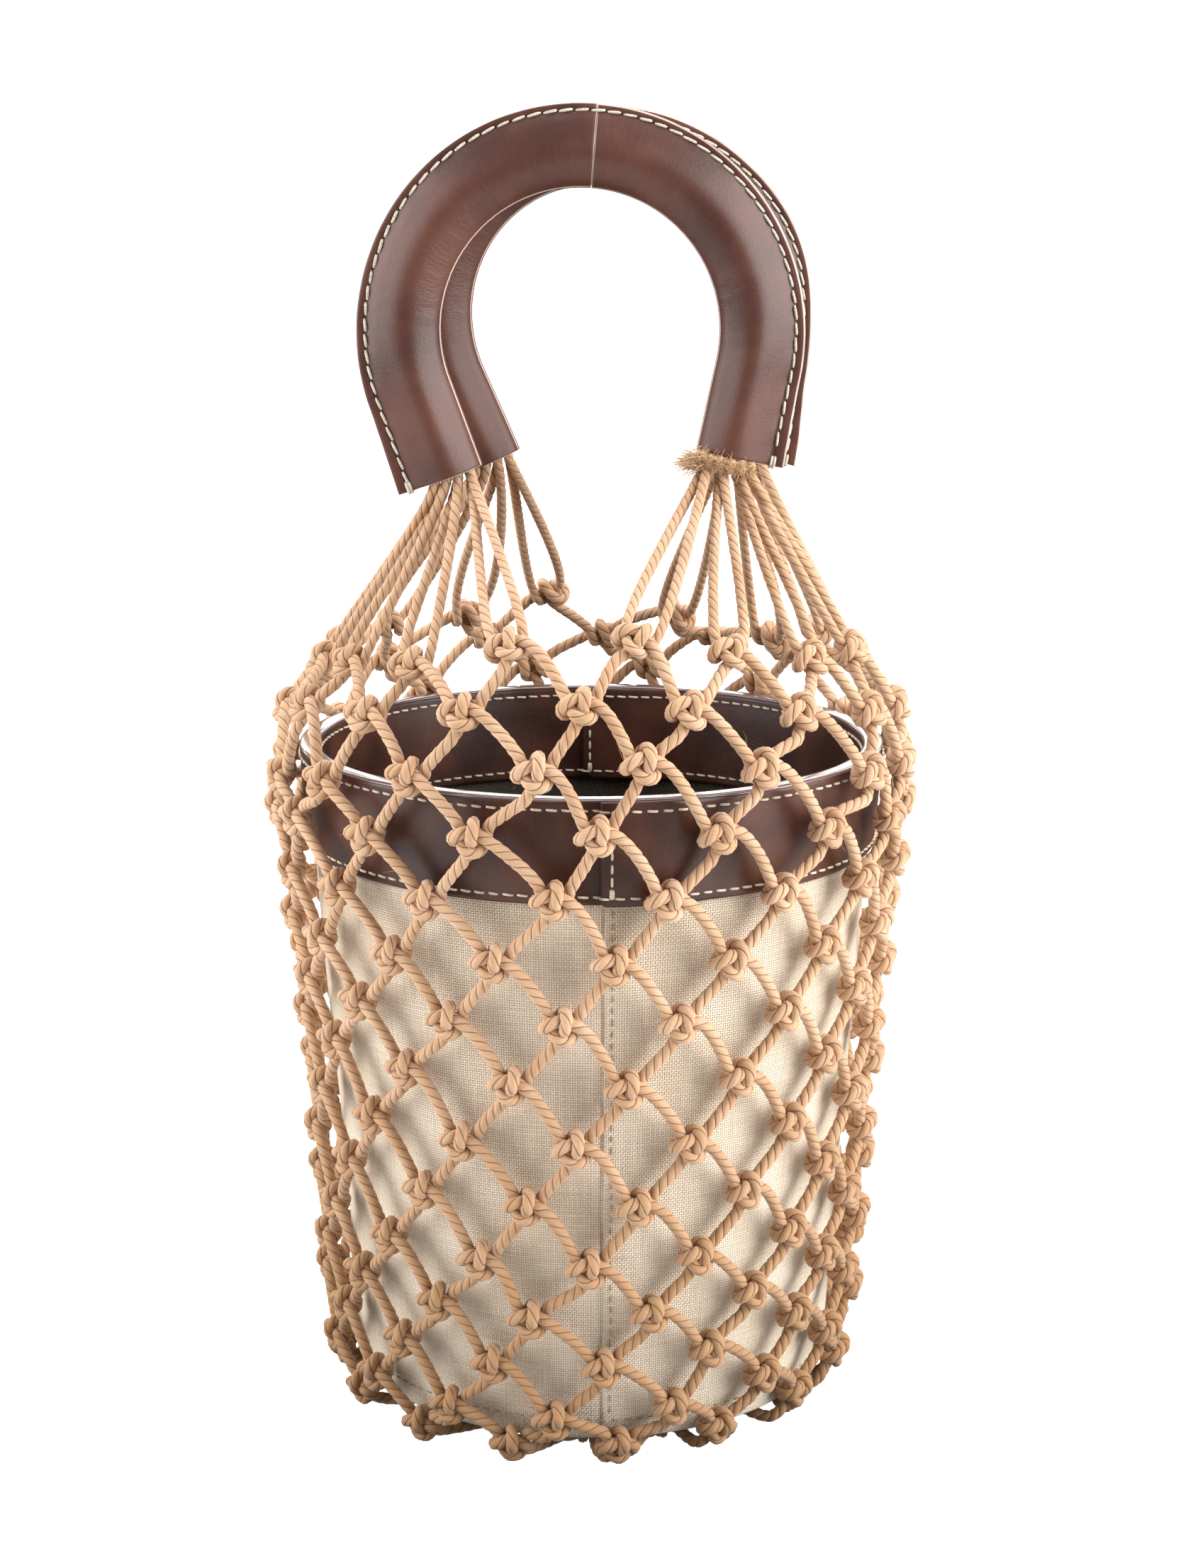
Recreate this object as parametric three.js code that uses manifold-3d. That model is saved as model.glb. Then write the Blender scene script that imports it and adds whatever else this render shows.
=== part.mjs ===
// A bucket bag: a linen bucket with a leather rim stands in a knotted cord net,
// and the net's top cords gather into two padded leather handles.
// Millimetres, +Z up, the front faces -Y, and the bag stands on z = 0.
import * as THREE from "three";
import { ConvexHull } from "three/addons/math/ConvexHull.js";
import { mergeVertices } from "three/addons/utils/BufferGeometryUtils.js";
import Module from "manifold-3d";

const wasm = await Module();
wasm.setup();

const gap = 0.3; // clearance between neighbouring pieces
const weld = 1e-3; // vertices closer than this are one
const floorRoom = 8; // height of the bucket's underside, room for the cords below it

const bucket = {
  height: 221.5,
  baseRadius: 82.5,
  topRadius: 97.6,
  wall: 2,
  disc: 2.5, // thickness of the base disc
  edge: 2.5, // rounding of the foot, where the wall is turned in to the disc
  sides: 40,
};

const rim = {
  height: 34,
  leather: 1.8,
  seat: 0.45, // clearance below a strip, on the wall's facets
  overlap: 9, // degrees that a strip's end laps over its start
  ramp: 5, // degrees in which the end climbs on top
  bandSeam: 1.7, // degrees from the front, free edge of the outer strip
  facingSeam: 182, // the same for the inner strip
  sides: 40,
};

// The real net has 16 columns and 15 rows of knots around the bucket.
// The solid net has fewer, larger meshes on the same shell.
const net = {
  columns: 12,
  rows: 10,
  firstPhase: -3.4, // degrees by which the first row is turned from the front
  drift: 1.44, // degrees of turn from one real row to the next
  realRows: 15,
};

// The shell that the knots lie on, by the real row's number:
// z above the bucket's base, radius, rise at front and back, rise at the front alone, lean to the right.
const shellSections = [
  { row: 1, z: 258.3, radius: 91, rise: 5.7, front: 5, lean: 0 },
  { row: 2, z: 241, radius: 103, rise: 6.6, front: 4.5, lean: 0 },
  { row: 3, z: 225, radius: 107, rise: 7.3, front: 3, lean: 0 },
  { row: 4, z: 205.5, radius: 106.5, rise: 6, front: 2, lean: 0 },
  { row: 6, z: 166.5, radius: 102.3, rise: 3, front: 0.5, lean: 0 },
  { row: 8, z: 128, radius: 98.6, rise: 0, front: 0, lean: 0.9 },
  { row: 11, z: 68.3, radius: 94.8, rise: 0, front: 0, lean: 2.9 },
  { row: 14, z: 16.2, radius: 91.4, rise: 0, front: 0, lean: 4.2 },
  { row: 15, z: 1.9, radius: 88, rise: 0, front: 0, lean: 1.5 },
];

const cord = { radius: 2, sides: 5 };
const knot = {
  reach: 5.2, // from a knot's middle to where its strands begin
  outer: 4.8,
  inner: 3.2,
  topWidth: 5.2, // half width and half depth of the flat top of a first row knot
  topDepth: 2.1,
  topGap: 0.45, // clearance to the cords that end there
};

const underside = {
  knotRadius: 64, // distance of the last knots from the axis
  knotZ: 3.6,
  knotDepth: 3.3,
  turnRadius: 83, // where the strands turn in below the foot of the bucket
  turnZ: 2.6,
  turnShare: 0.25, // how far round towards the lower knot they turn
  turnGap: 2.2, // from the turn to where the lower strand begins
  ringInner: 22,
  ringOuter: 34,
  ringHeight: 7.6,
  strandReach: 30, // distance from the axis at which the strands end in the ring
  sides: 24,
};

// Handles: centre of the arch above the bucket's base, degrees that each leg leans inward,
// length of the straight legs, degrees from the top to the joint of the two sleeve halves.
const handles = [
  { name: "front", x: -3.5, y: -26, z: 361.5, leftLean: 20, rightLean: 12, leg: 30, joint: 4.5 },
  { name: "back", x: 5.2, y: 26, z: 363, leftLean: 23, rightLean: 17, leg: 30, joint: 4.5 },
];

const sleeve = {
  archRadius: 55.75, // from the arch's centre to the middle of the tube
  halfWidth: 10.75,
  halfDepth: 8.25,
  leather: 1.6,
  flangeReach: 16.4, // from the middle of the tube to the sewn edge
  flangeHalf: 1.6,
  rootHalf: 1.9, // half depth and place of the groove between tube and flange
  rootReach: 11.25,
  steps: 10,
  jointGap: 0.6,
};

const bundle = {
  clearance: 0.6,
  neck: 4.5, // length that stands out of the sleeve's mouth
  cordStart: 2, // where the single cords begin, below the mouth
  across: [-4.3, 0, 4.3], // places of the cords across the mouth
  deep: 2, // the front and back layer of cords
};

// Frayed ends at the front handle's right mouth: place across the mouth, half width, half height.
const frayedLumps = [
  { across: -13, width: 4.4, height: 2.2 },
  { across: -7.5, width: 4, height: 3 },
  { across: -1.5, width: 4, height: 2.9 },
  { across: 4.5, width: 4, height: 3 },
  { across: 9.5, width: 3, height: 2.6 },
];
const frayed = { below: 3.6, forward: 7.4, depth: 5.4 };

const linen = new THREE.MeshStandardMaterial({ color: 0xa39689, roughness: 0.95, metalness: 0 });
const rimLeather = new THREE.MeshStandardMaterial({ color: 0x3d2a26, roughness: 0.5, metalness: 0 });
const handleLeather = new THREE.MeshStandardMaterial({ color: 0x5f443b, roughness: 0.45, metalness: 0 });
const cottonCord = new THREE.MeshStandardMaterial({ color: 0xd6ab7d, roughness: 0.95, metalness: 0 });

const radians = THREE.MathUtils.degToRad;

function solid(geometry) {
  const bare = geometry.index ? geometry.toNonIndexed() : geometry.clone();
  bare.deleteAttribute("normal");
  bare.deleteAttribute("uv");
  const merged = mergeVertices(bare, weld);
  return new wasm.Manifold(
    new wasm.Mesh({
      numProp: 3,
      vertProperties: merged.attributes.position.array,
      triVerts: new Uint32Array(merged.index.array),
    }),
  );
}

function geometryOf(manifold) {
  const mesh = manifold.getMesh();
  const geometry = new THREE.BufferGeometry();
  geometry.setAttribute("position", new THREE.BufferAttribute(mesh.vertProperties, 3));
  geometry.setIndex(new THREE.BufferAttribute(mesh.triVerts, 1));
  geometry.computeVertexNormals();
  return geometry;
}

function joined(geometries) {
  return geometryOf(geometries.map(solid).reduce((whole, piece) => whole.add(piece)));
}

function trianglesToGeometry(points) {
  const geometry = new THREE.BufferGeometry().setFromPoints(points);
  geometry.computeVertexNormals();
  return geometry;
}

// A point at an angle from the front, positive towards +X.
function aroundAxis(degrees, radius, z) {
  const angle = radians(degrees);
  return new THREE.Vector3(radius * Math.sin(angle), -radius * Math.cos(angle), z);
}

function wallRadius(z) {
  return THREE.MathUtils.lerp(bucket.baseRadius, bucket.topRadius, (z - floorRoom) / bucket.height);
}

// Closed profile in (radius, z), turned about the axis.
function turned(profile, sides) {
  const closed = [...profile, profile[0]].map(([radius, z]) => new THREE.Vector2(radius, z));
  const geometry = new THREE.LatheGeometry(closed, sides);
  geometry.rotateX(Math.PI / 2);
  return geometry;
}

function bucketWall() {
  const foot = floorRoom;
  const top = floorRoom + bucket.height;
  const roundFoot = [0, 45, 90].map((degrees) => {
    const angle = radians(degrees);
    const inset = bucket.edge * (1 - Math.sin(angle));
    return [wallRadius(foot) - inset, foot + bucket.edge * (1 - Math.cos(angle))];
  });
  return turned(
    [
      [wallRadius(foot) - bucket.wall - bucket.edge, foot],
      ...roundFoot,
      [wallRadius(top), top],
      [wallRadius(top) - bucket.wall, top],
      [wallRadius(foot) - bucket.wall, foot + bucket.edge],
    ],
    bucket.sides,
  );
}

function bucketBase() {
  const hem = wallRadius(floorRoom) - bucket.wall - bucket.edge;
  const radius = hem * Math.cos(Math.PI / bucket.sides) - gap;
  const disc = new THREE.CylinderGeometry(radius, radius, bucket.disc, bucket.sides);
  disc.rotateX(Math.PI / 2);
  disc.translate(0, 0, floorRoom + bucket.disc / 2);
  return disc;
}

// A leather strip around the rim. It starts under its own end, goes once round,
// climbs by its own thickness and ends on top of its start. side is 1 outside the wall and -1 inside.
function rimStrip(seam, turn, side) {
  const top = floorRoom + bucket.height;
  const bottom = top - rim.height;
  const whole = 360 + rim.overlap;
  const steps = Math.round((rim.sides * whole) / 360);
  const surface = side > 0 ? 0 : -bucket.wall;
  const facetSlack = side > 0 ? 0 : -wallRadius(top) * (1 - Math.cos(Math.PI / bucket.sides));
  const rings = [];
  for (let i = 0; i <= steps; i++) {
    const along = (whole * i) / steps;
    const climb = THREE.MathUtils.smoothstep(along, 360 - rim.ramp - rim.overlap, 360 - rim.ramp / 2);
    const lift = rim.seat + climb * (rim.leather + rim.seat);
    const angle = seam + turn * (rim.overlap - along);
    const corner = (z, depth) => {
      const radius = wallRadius(z) + surface + facetSlack + side * (lift + depth);
      return aroundAxis(angle, radius, z);
    };
    rings.push([
      corner(bottom, 0),
      corner(bottom, rim.leather),
      corner(top, rim.leather),
      corner(top, 0),
    ]);
  }
  return loft(rings, turn * side < 0);
}

// A closed solid through equal rings of points. flip turns its faces round.
function loft(rings, flip) {
  const points = [];
  const face = (a, b, c) => points.push(...(flip ? [a, c, b] : [a, b, c]));
  const count = rings[0].length;
  for (let i = 0; i + 1 < rings.length; i++) {
    for (let k = 0; k < count; k++) {
      const next = (k + 1) % count;
      face(rings[i][k], rings[i][next], rings[i + 1][next]);
      face(rings[i][k], rings[i + 1][next], rings[i + 1][k]);
    }
  }
  const first = rings[0];
  const last = rings[rings.length - 1];
  for (let k = 1; k + 1 < count; k++) {
    face(first[0], first[k + 1], first[k]);
    face(last[0], last[k], last[k + 1]);
  }
  return trianglesToGeometry(points);
}

// The shell's values at any row number, between the sections of the table.
function shellAt(row) {
  const last = shellSections.length - 2;
  const index = Math.min(last, shellSections.filter((s) => s.row <= row).length - 1);
  const a = shellSections[index];
  const b = shellSections[index + 1];
  const share = (row - a.row) / (b.row - a.row);
  const mix = (key) => THREE.MathUtils.lerp(a[key], b[key], share);
  return { z: mix("z"), radius: mix("radius"), rise: mix("rise"), front: mix("front"), lean: mix("lean") };
}

function shellPoint(row, degrees) {
  const shell = shellAt(row);
  const angle = radians(degrees);
  const bothSides = shell.rise * Math.cos(2 * angle);
  const swell = bothSides + shell.front * Math.cos(angle) + shell.lean * Math.sin(angle);
  return aroundAxis(degrees, shell.radius, floorRoom + shell.z + swell);
}

function knotDegrees(index, column) {
  const row = realRow(index);
  const half = index % 2 === 0 ? 0.5 : 0;
  return net.firstPhase + net.drift * (row - 1) + ((column + half) * 360) / net.columns;
}

function realRow(index) {
  return 1 + (index * (net.realRows - 1)) / (net.rows - 1);
}

function newKnot(centre, outward, outer, inner) {
  const tips = [outer, -inner].map((reach) => centre.clone().addScaledVector(outward, reach));
  return { centre, outward, rings: [], extra: tips };
}

function strandRing(centre, along, outward) {
  const side = new THREE.Vector3().crossVectors(along, outward).normalize();
  const front = new THREE.Vector3().crossVectors(side, along);
  return Array.from({ length: cord.sides }, (_, k) => {
    const turn = (2 * Math.PI * k) / cord.sides;
    const point = centre.clone().addScaledVector(front, cord.radius * Math.cos(turn));
    return point.addScaledVector(side, cord.radius * Math.sin(turn));
  });
}

function tubeFaces(points, start, end) {
  for (let k = 0; k < cord.sides; k++) {
    const next = (k + 1) % cord.sides;
    points.push(start[k], start[next], end[next]);
    points.push(start[k], end[next], end[k]);
  }
}

function capFaces(points, ring) {
  for (let k = 1; k + 1 < cord.sides; k++) {
    points.push(ring[0], ring[k], ring[k + 1]);
  }
}

// A strand from knot to knot, as a straight prism between their reaches.
function strandBetween(points, a, b) {
  const along = b.centre.clone().sub(a.centre).normalize();
  const outward = a.outward.clone().add(b.outward).normalize();
  const start = strandRing(a.centre.clone().addScaledVector(along, knot.reach), along, outward);
  const end = strandRing(b.centre.clone().addScaledVector(along, -knot.reach), along, outward);
  a.rings.push(start);
  b.rings.push(end);
  tubeFaces(points, start, end);
}

// A strand from a knot to a loose end.
function strandToEnd(points, a, target, length) {
  const along = target.clone().sub(a.centre).normalize();
  const start = strandRing(a.centre.clone().addScaledVector(along, knot.reach), along, a.outward);
  const end = strandRing(a.centre.clone().addScaledVector(along, length), along, a.outward);
  a.rings.push(start);
  tubeFaces(points, start, end);
  capFaces(points, end);
}

// A knot is the hull of its strands' ends and its tips, left open where the strands join.
function knotFaces(points, a) {
  const ringOf = new Map();
  a.rings.forEach((ring, index) => ring.forEach((point) => ringOf.set(point, index)));
  const hull = new ConvexHull().setFromPoints([...a.rings.flat(), ...a.extra]);
  for (const face of hull.faces) {
    const first = face.edge;
    const corners = [first, first.next, first.next.next].map((edge) => edge.head().point);
    const rings = corners.map((point) => ringOf.get(point));
    const open = rings[0] !== undefined && rings.every((ring) => ring === rings[0]);
    if (!open) {
      points.push(...corners);
    }
  }
}

function netKnots() {
  return Array.from({ length: net.rows }, (_, index) =>
    Array.from({ length: net.columns }, (_, column) => {
      const degrees = knotDegrees(index, column);
      return newKnot(shellPoint(realRow(index), degrees), aroundAxis(degrees, 1, 0), knot.outer, knot.inner);
    }),
  );
}

// The knots under the bucket, each below a gap of the last row around it.
function undersideKnots() {
  const down = new THREE.Vector3(0, 0, -1);
  return Array.from({ length: net.columns }, (_, column) => {
    const centre = aroundAxis(knotDegrees(net.rows, column), underside.knotRadius, underside.knotZ);
    return newKnot(centre, down, underside.knotDepth, underside.knotDepth);
  });
}

// Where a strand of the last row turns in below the foot of the bucket.
function turnPoint(upper, lower) {
  const between = upper.centre.clone().lerp(lower.centre, underside.turnShare).setZ(0);
  return between.setLength(underside.turnRadius).setZ(underside.turnZ);
}

// Columns of the two lower neighbours of a knot.
function lowerColumns(index, column) {
  const right = index % 2 === 0 ? column + 1 : column;
  return [(right - 1 + net.columns) % net.columns, right % net.columns];
}

// Flat top of a first row knot, square to the cords that leave it.
function topFrame(first, mouth) {
  const along = mouth.clone().sub(first.centre).normalize();
  const side = new THREE.Vector3().crossVectors(along, first.outward).normalize();
  const deep = new THREE.Vector3().crossVectors(side, along);
  const centre = first.centre.clone().addScaledVector(along, knot.reach);
  return { along, side, deep, centre };
}

function netBody(rows, below, mouthOf) {
  const points = [];
  for (let index = 0; index + 1 < net.rows; index++) {
    rows[index].forEach((upper, column) => {
      lowerColumns(index, column).forEach((lower) => strandBetween(points, upper, rows[index + 1][lower]));
    });
  }
  rows[net.rows - 1].forEach((upper, column) => {
    lowerColumns(net.rows - 1, column).forEach((lower) => {
      const turn = turnPoint(upper, below[lower]);
      strandToEnd(points, upper, turn, upper.centre.distanceTo(turn) - gap);
    });
  });
  rows[0].forEach((first, column) => {
    const top = topFrame(first, mouthOf(column));
    for (const [across, deep] of [[-1, -1], [1, -1], [1, 1], [-1, 1]]) {
      const corner = top.centre.clone().addScaledVector(top.side, across * knot.topWidth);
      first.extra.push(corner.addScaledVector(top.deep, deep * knot.topDepth));
    }
  });
  rows.flat().forEach((one) => knotFaces(points, one));
  return geometryOf(solid(trianglesToGeometry(points)));
}

function netBase(rows, below) {
  const points = [];
  rows[net.rows - 1].forEach((upper, column) => {
    lowerColumns(net.rows - 1, column).forEach((lower) => {
      const turn = turnPoint(upper, below[lower]);
      const length = below[lower].centre.distanceTo(turn) - underside.turnGap;
      strandToEnd(points, below[lower], turn, length);
    });
  });
  below.forEach((one) => {
    const end = one.centre.clone().multiplyScalar(underside.strandReach / underside.knotRadius);
    end.z = underside.knotZ;
    strandToEnd(points, one, end, one.centre.distanceTo(end));
  });
  below.forEach((one) => knotFaces(points, one));
  const ring = turned(
    [
      [underside.ringInner, 0],
      [underside.ringOuter, 0],
      [underside.ringOuter, underside.ringHeight],
      [underside.ringInner, underside.ringHeight],
    ],
    underside.sides,
  );
  return joined([trianglesToGeometry(points), ring]);
}

// The middle line of a handle's tube by its length: left leg, arch, right leg.
class HandleLine extends THREE.Curve {
  constructor(handle, from, to) {
    super();
    this.handle = handle;
    this.from = from;
    this.to = to;
  }

  static archLength(handle) {
    return sleeve.archRadius * radians(180 + handle.leftLean + handle.rightLean);
  }

  static length(handle) {
    return 2 * handle.leg + HandleLine.archLength(handle);
  }

  static jointAt(handle) {
    return handle.leg + sleeve.archRadius * radians(90 + handle.leftLean + handle.joint);
  }

  getPoint(t, target = new THREE.Vector3()) {
    const { x, y, z, leg, leftLean, rightLean } = this.handle;
    const along = THREE.MathUtils.lerp(this.from, this.to, t);
    const arch = THREE.MathUtils.clamp(along - leg, 0, HandleLine.archLength(this.handle));
    const straight = along - leg - arch;
    const angle = Math.PI + radians(leftLean) - arch / sleeve.archRadius;
    const lean = straight < 0 ? radians(leftLean) : -radians(rightLean);
    const sink = -Math.abs(straight);
    return target.set(
      x + sleeve.archRadius * Math.cos(angle) - sink * Math.sin(lean),
      y,
      floorRoom + z + sleeve.archRadius * Math.sin(angle) + sink * Math.cos(lean),
    );
  }
}

// Points of an oval, from the inner side of the arch round to the front.
function oval(halfDepth, halfWidth, angles) {
  return angles.map((degrees) => {
    const angle = radians(degrees);
    return new THREE.Vector2(halfDepth * Math.sin(angle), halfWidth * Math.cos(angle));
  });
}

const eighths = [0, 45, 90, 135, 180, 225, 270, 315];

// Section of a sleeve: an oval tube that runs out into a flat sewn flange on the outer side of the arch.
function sleeveSection() {
  const front = oval(sleeve.halfDepth, sleeve.halfWidth, [0, 45, 90, 132]);
  const root = new THREE.Vector2(sleeve.rootHalf, -sleeve.rootReach);
  const tip = new THREE.Vector2(sleeve.flangeHalf, -sleeve.flangeReach);
  const half = [...front, root, tip];
  const mirrored = half.slice(1).reverse().map((point) => new THREE.Vector2(-point.x, point.y));
  const section = new THREE.Shape([...half, ...mirrored]);
  const hollow = oval(sleeve.halfDepth - sleeve.leather, sleeve.halfWidth - sleeve.leather, eighths);
  section.holes.push(new THREE.Path(hollow.reverse()));
  return section;
}

function halfRange(handle, side) {
  const joint = HandleLine.jointAt(handle);
  return side === "left"
    ? [0, joint - sleeve.jointGap / 2]
    : [joint + sleeve.jointGap / 2, HandleLine.length(handle)];
}

function swept(section, line, steps) {
  return new THREE.ExtrudeGeometry(section, { steps, extrudePath: line, bevelEnabled: false });
}

function sleeveHalf(handle, side) {
  const [from, to] = halfRange(handle, side);
  return swept(sleeveSection(), new HandleLine(handle, from, to), sleeve.steps);
}

// Middle of a sleeve's mouth, the direction out of it,
// and the direction across it away from the arch's centre.
function mouthFrame(handle, side) {
  const left = side === "left";
  const place = left ? 0 : HandleLine.length(handle);
  const line = new HandleLine(handle, place, left ? place - 1 : place + 1);
  const centre = line.getPoint(0);
  const out = line.getPoint(1).sub(centre).normalize();
  const depthAxis = new THREE.Vector3(0, left ? -1 : 1, 0);
  const across = new THREE.Vector3().crossVectors(out, depthAxis);
  return { centre, out, across };
}

function straightCord(start, end) {
  const disc = new THREE.Shape(
    Array.from({ length: cord.sides }, (_, k) => {
      const turn = (2 * Math.PI * k) / cord.sides;
      return new THREE.Vector2(cord.radius * Math.cos(turn), cord.radius * Math.sin(turn));
    }),
  );
  return swept(disc, new THREE.LineCurve3(start, end), 1);
}

// The bundle inside half a sleeve and the single cords from its mouth to the tops of three knots.
function cordBundle(handle, side, knots) {
  const [from, to] = halfRange(handle, side);
  const left = side === "left";
  const line = new HandleLine(handle, left ? from - bundle.neck : from, left ? to : to + bundle.neck);
  const spare = sleeve.leather + bundle.clearance;
  const section = new THREE.Shape(oval(sleeve.halfDepth - spare, sleeve.halfWidth - spare, eighths));
  const pieces = [swept(section, line, sleeve.steps)];
  const mouth = mouthFrame(handle, side);
  const back = handle.name === "back";
  knots.forEach((first, index) => {
    const top = topFrame(first, mouth.centre);
    for (const layer of [-1, 1]) {
      const start = mouth.centre.clone().addScaledVector(mouth.out, bundle.cordStart);
      start.addScaledVector(mouth.across, bundle.across[index]);
      start.y += (back ? -layer : layer) * bundle.deep;
      const turn = left === back ? -layer : layer;
      const end = top.centre.clone().addScaledVector(top.along, knot.topGap);
      end.addScaledVector(top.side, turn * (knot.topWidth - cord.radius));
      pieces.push(straightCord(start, end));
    }
  });
  return pieces;
}

function frayedEnds(handle, side) {
  const mouth = mouthFrame(handle, side);
  return frayedLumps.map((lump) => {
    const geometry = new THREE.IcosahedronGeometry(1, 0);
    geometry.scale(lump.width, frayed.depth, lump.height);
    const centre = mouth.centre.clone().addScaledVector(mouth.out, frayed.below);
    centre.addScaledVector(mouth.across, lump.across);
    geometry.translate(centre.x, centre.y - frayed.forward, centre.z);
    return geometry;
  });
}

const bag = new THREE.Group();

function place(name, geometry, material) {
  const mesh = new THREE.Mesh(geometry, material);
  mesh.name = name;
  bag.add(mesh);
}

// Each end of a handle takes a quarter of the first row's knots, nearest the middle of the bag first.
const ends = [
  { handle: handles[0], side: "right", columns: [0, 1, 2] },
  { handle: handles[1], side: "right", columns: [5, 4, 3] },
  { handle: handles[1], side: "left", columns: [6, 7, 8] },
  { handle: handles[0], side: "left", columns: [11, 10, 9] },
];

const rows = netKnots();
const below = undersideKnots();
const endOf = (column) => ends.find((end) => end.columns.includes(column));
const mouthOf = (column) => mouthFrame(endOf(column).handle, endOf(column).side).centre;

place("bucket_wall", bucketWall(), linen);
place("bucket_base", bucketBase(), linen);
place("rim_band", rimStrip(rim.bandSeam, 1, 1), rimLeather);
place("rim_facing", rimStrip(rim.facingSeam, -1, -1), rimLeather);
place("net_body", netBody(rows, below, mouthOf), cottonCord);
place("net_base", netBase(rows, below), cottonCord);
for (const { handle, side, columns } of ends) {
  const pieces = cordBundle(handle, side, columns.map((column) => rows[0][column]));
  if (handle.name === "front" && side === "right") {
    pieces.push(...frayedEnds(handle, side));
  }
  place(`cords_${handle.name}_${side}`, joined(pieces), cottonCord);
  place(`sleeve_${handle.name}_${side}`, sleeveHalf(handle, side), handleLeather);
}

export default bag;
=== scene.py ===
import math

import bpy
import numpy as np
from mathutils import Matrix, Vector


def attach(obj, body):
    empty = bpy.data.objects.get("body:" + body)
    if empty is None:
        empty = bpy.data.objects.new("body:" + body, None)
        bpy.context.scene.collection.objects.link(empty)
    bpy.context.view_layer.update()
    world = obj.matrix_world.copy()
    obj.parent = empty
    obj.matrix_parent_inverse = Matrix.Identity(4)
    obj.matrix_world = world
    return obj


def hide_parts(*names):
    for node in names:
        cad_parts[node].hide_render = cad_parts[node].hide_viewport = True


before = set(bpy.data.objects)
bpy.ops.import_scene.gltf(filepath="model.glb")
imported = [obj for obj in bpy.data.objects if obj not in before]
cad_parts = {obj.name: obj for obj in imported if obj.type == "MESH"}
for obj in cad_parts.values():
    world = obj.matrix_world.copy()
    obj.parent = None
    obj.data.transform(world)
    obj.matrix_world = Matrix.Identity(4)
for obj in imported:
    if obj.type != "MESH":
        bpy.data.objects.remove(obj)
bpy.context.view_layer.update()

mm = 0.001  # shapes below are in millimetres, in the frame of the solids
draw = np.random.default_rng(11)
white = (1.0, 1.0, 1.0, 1.0)


# Shader tools: a wire is a socket with arithmetic, a finish is one material.
class Wire:
    def __init__(self, finish, socket):
        self.finish = finish
        self.socket = socket

    def out(self, name):
        return Wire(self.finish, self.socket.node.outputs[name])

    def maths(self, operation, *values):
        return self.finish.node("ShaderNodeMath", {"operation": operation}, values)

    def __add__(self, other):
        return self.maths("ADD", self, other)

    __radd__ = __add__

    def __sub__(self, other):
        return self.maths("SUBTRACT", self, other)

    def __rsub__(self, other):
        return self.maths("SUBTRACT", other, self)

    def __mul__(self, other):
        return self.maths("MULTIPLY", self, other)

    __rmul__ = __mul__

    def __truediv__(self, other):
        return self.maths("DIVIDE", self, other)

    def __rtruediv__(self, other):
        return self.maths("DIVIDE", other, self)

    def __abs__(self):
        return self.maths("ABSOLUTE", self)

    def fraction(self):
        return self.maths("FRACT", self)

    def whole(self):
        return self.maths("FLOOR", self)


class Finish:
    def __init__(self, name):
        self.material = bpy.data.materials.new(name)
        self.material.use_nodes = True
        self.tree = self.material.node_tree
        self.tree.nodes.clear()

    def node(self, kind, settings=None, inputs=(), out=0):
        made = self.tree.nodes.new(kind)
        for key, value in (settings or {}).items():
            setattr(made, key, value)
        pairs = inputs.items() if isinstance(inputs, dict) else enumerate(inputs)
        for key, value in pairs:
            if isinstance(value, Wire):
                self.tree.links.new(value.socket, made.inputs[key])
            else:
                made.inputs[key].default_value = value
        return Wire(self, made.outputs[out]) if made.outputs else None

    def mix(self, share, first, second, blend="MIX"):
        settings = {"data_type": "RGBA", "blend_type": blend}
        return self.node("ShaderNodeMix", settings, {0: share, 6: first, 7: second}, out=2)

    def noise(self, place, scale, detail=3.0):
        return self.node("ShaderNodeTexNoise", {}, {"Vector": place, "Scale": scale, "Detail": detail})

    def stretched(self, place, factors):
        return self.node("ShaderNodeVectorMath", {"operation": "MULTIPLY"}, [place, factors])

    def between(self, value, low, high):
        settings = {"interpolation_type": "SMOOTHSTEP"}
        return self.node("ShaderNodeMapRange", settings, {"Value": value, "From Min": low, "From Max": high})

    def bump(self, height, distance, strength=1.0):
        return self.node("ShaderNodeBump", {}, {"Height": height, "Distance": distance, "Strength": strength})

    def solidPlace(self):
        return self.node("ShaderNodeTexCoord").out("Object")

    def sheetPlace(self):
        return self.node("ShaderNodeUVMap", {"uv_map": "UVMap"})

    def split(self, place):
        parts = self.node("ShaderNodeSeparateXYZ", {}, [place])
        return [parts.out(axis) for axis in "XYZ"]

    def surface(self, inputs):
        shader = self.node("ShaderNodeBsdfPrincipled", {}, inputs)
        self.node("ShaderNodeOutputMaterial", {}, {"Surface": shader})
        return self.material


def srgb(red, green, blue):
    shares = [value / 255 for value in (red, green, blue)]
    linear = [s / 12.92 if s <= 0.04045 else ((s + 0.055) / 1.055) ** 2.4 for s in shares]
    return (*linear, 1.0)


cordLook = {
    "light": srgb(222, 184, 150),
    "dark": srgb(201, 158, 120),
    # painted shade in the grooves between the plies
    "groove": srgb(112, 71, 43),
    "grooveFrom": 0.39,  # from a ply's middle, whose edges are at 0.5
    "grooveShadeShare": 0.85,
    "lowShade": srgb(160, 120, 80),  # painted shade: darker near the floor, where less light reaches the cords
    "lowShadeTo": 0.2,  # height in metres
    "lowShadeShare": 0.84,
    "patchScale": 60,
    "fibreStretch": (34.0, 130.0, 1.0),
    "fuzzScale": 2600,
}


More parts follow.
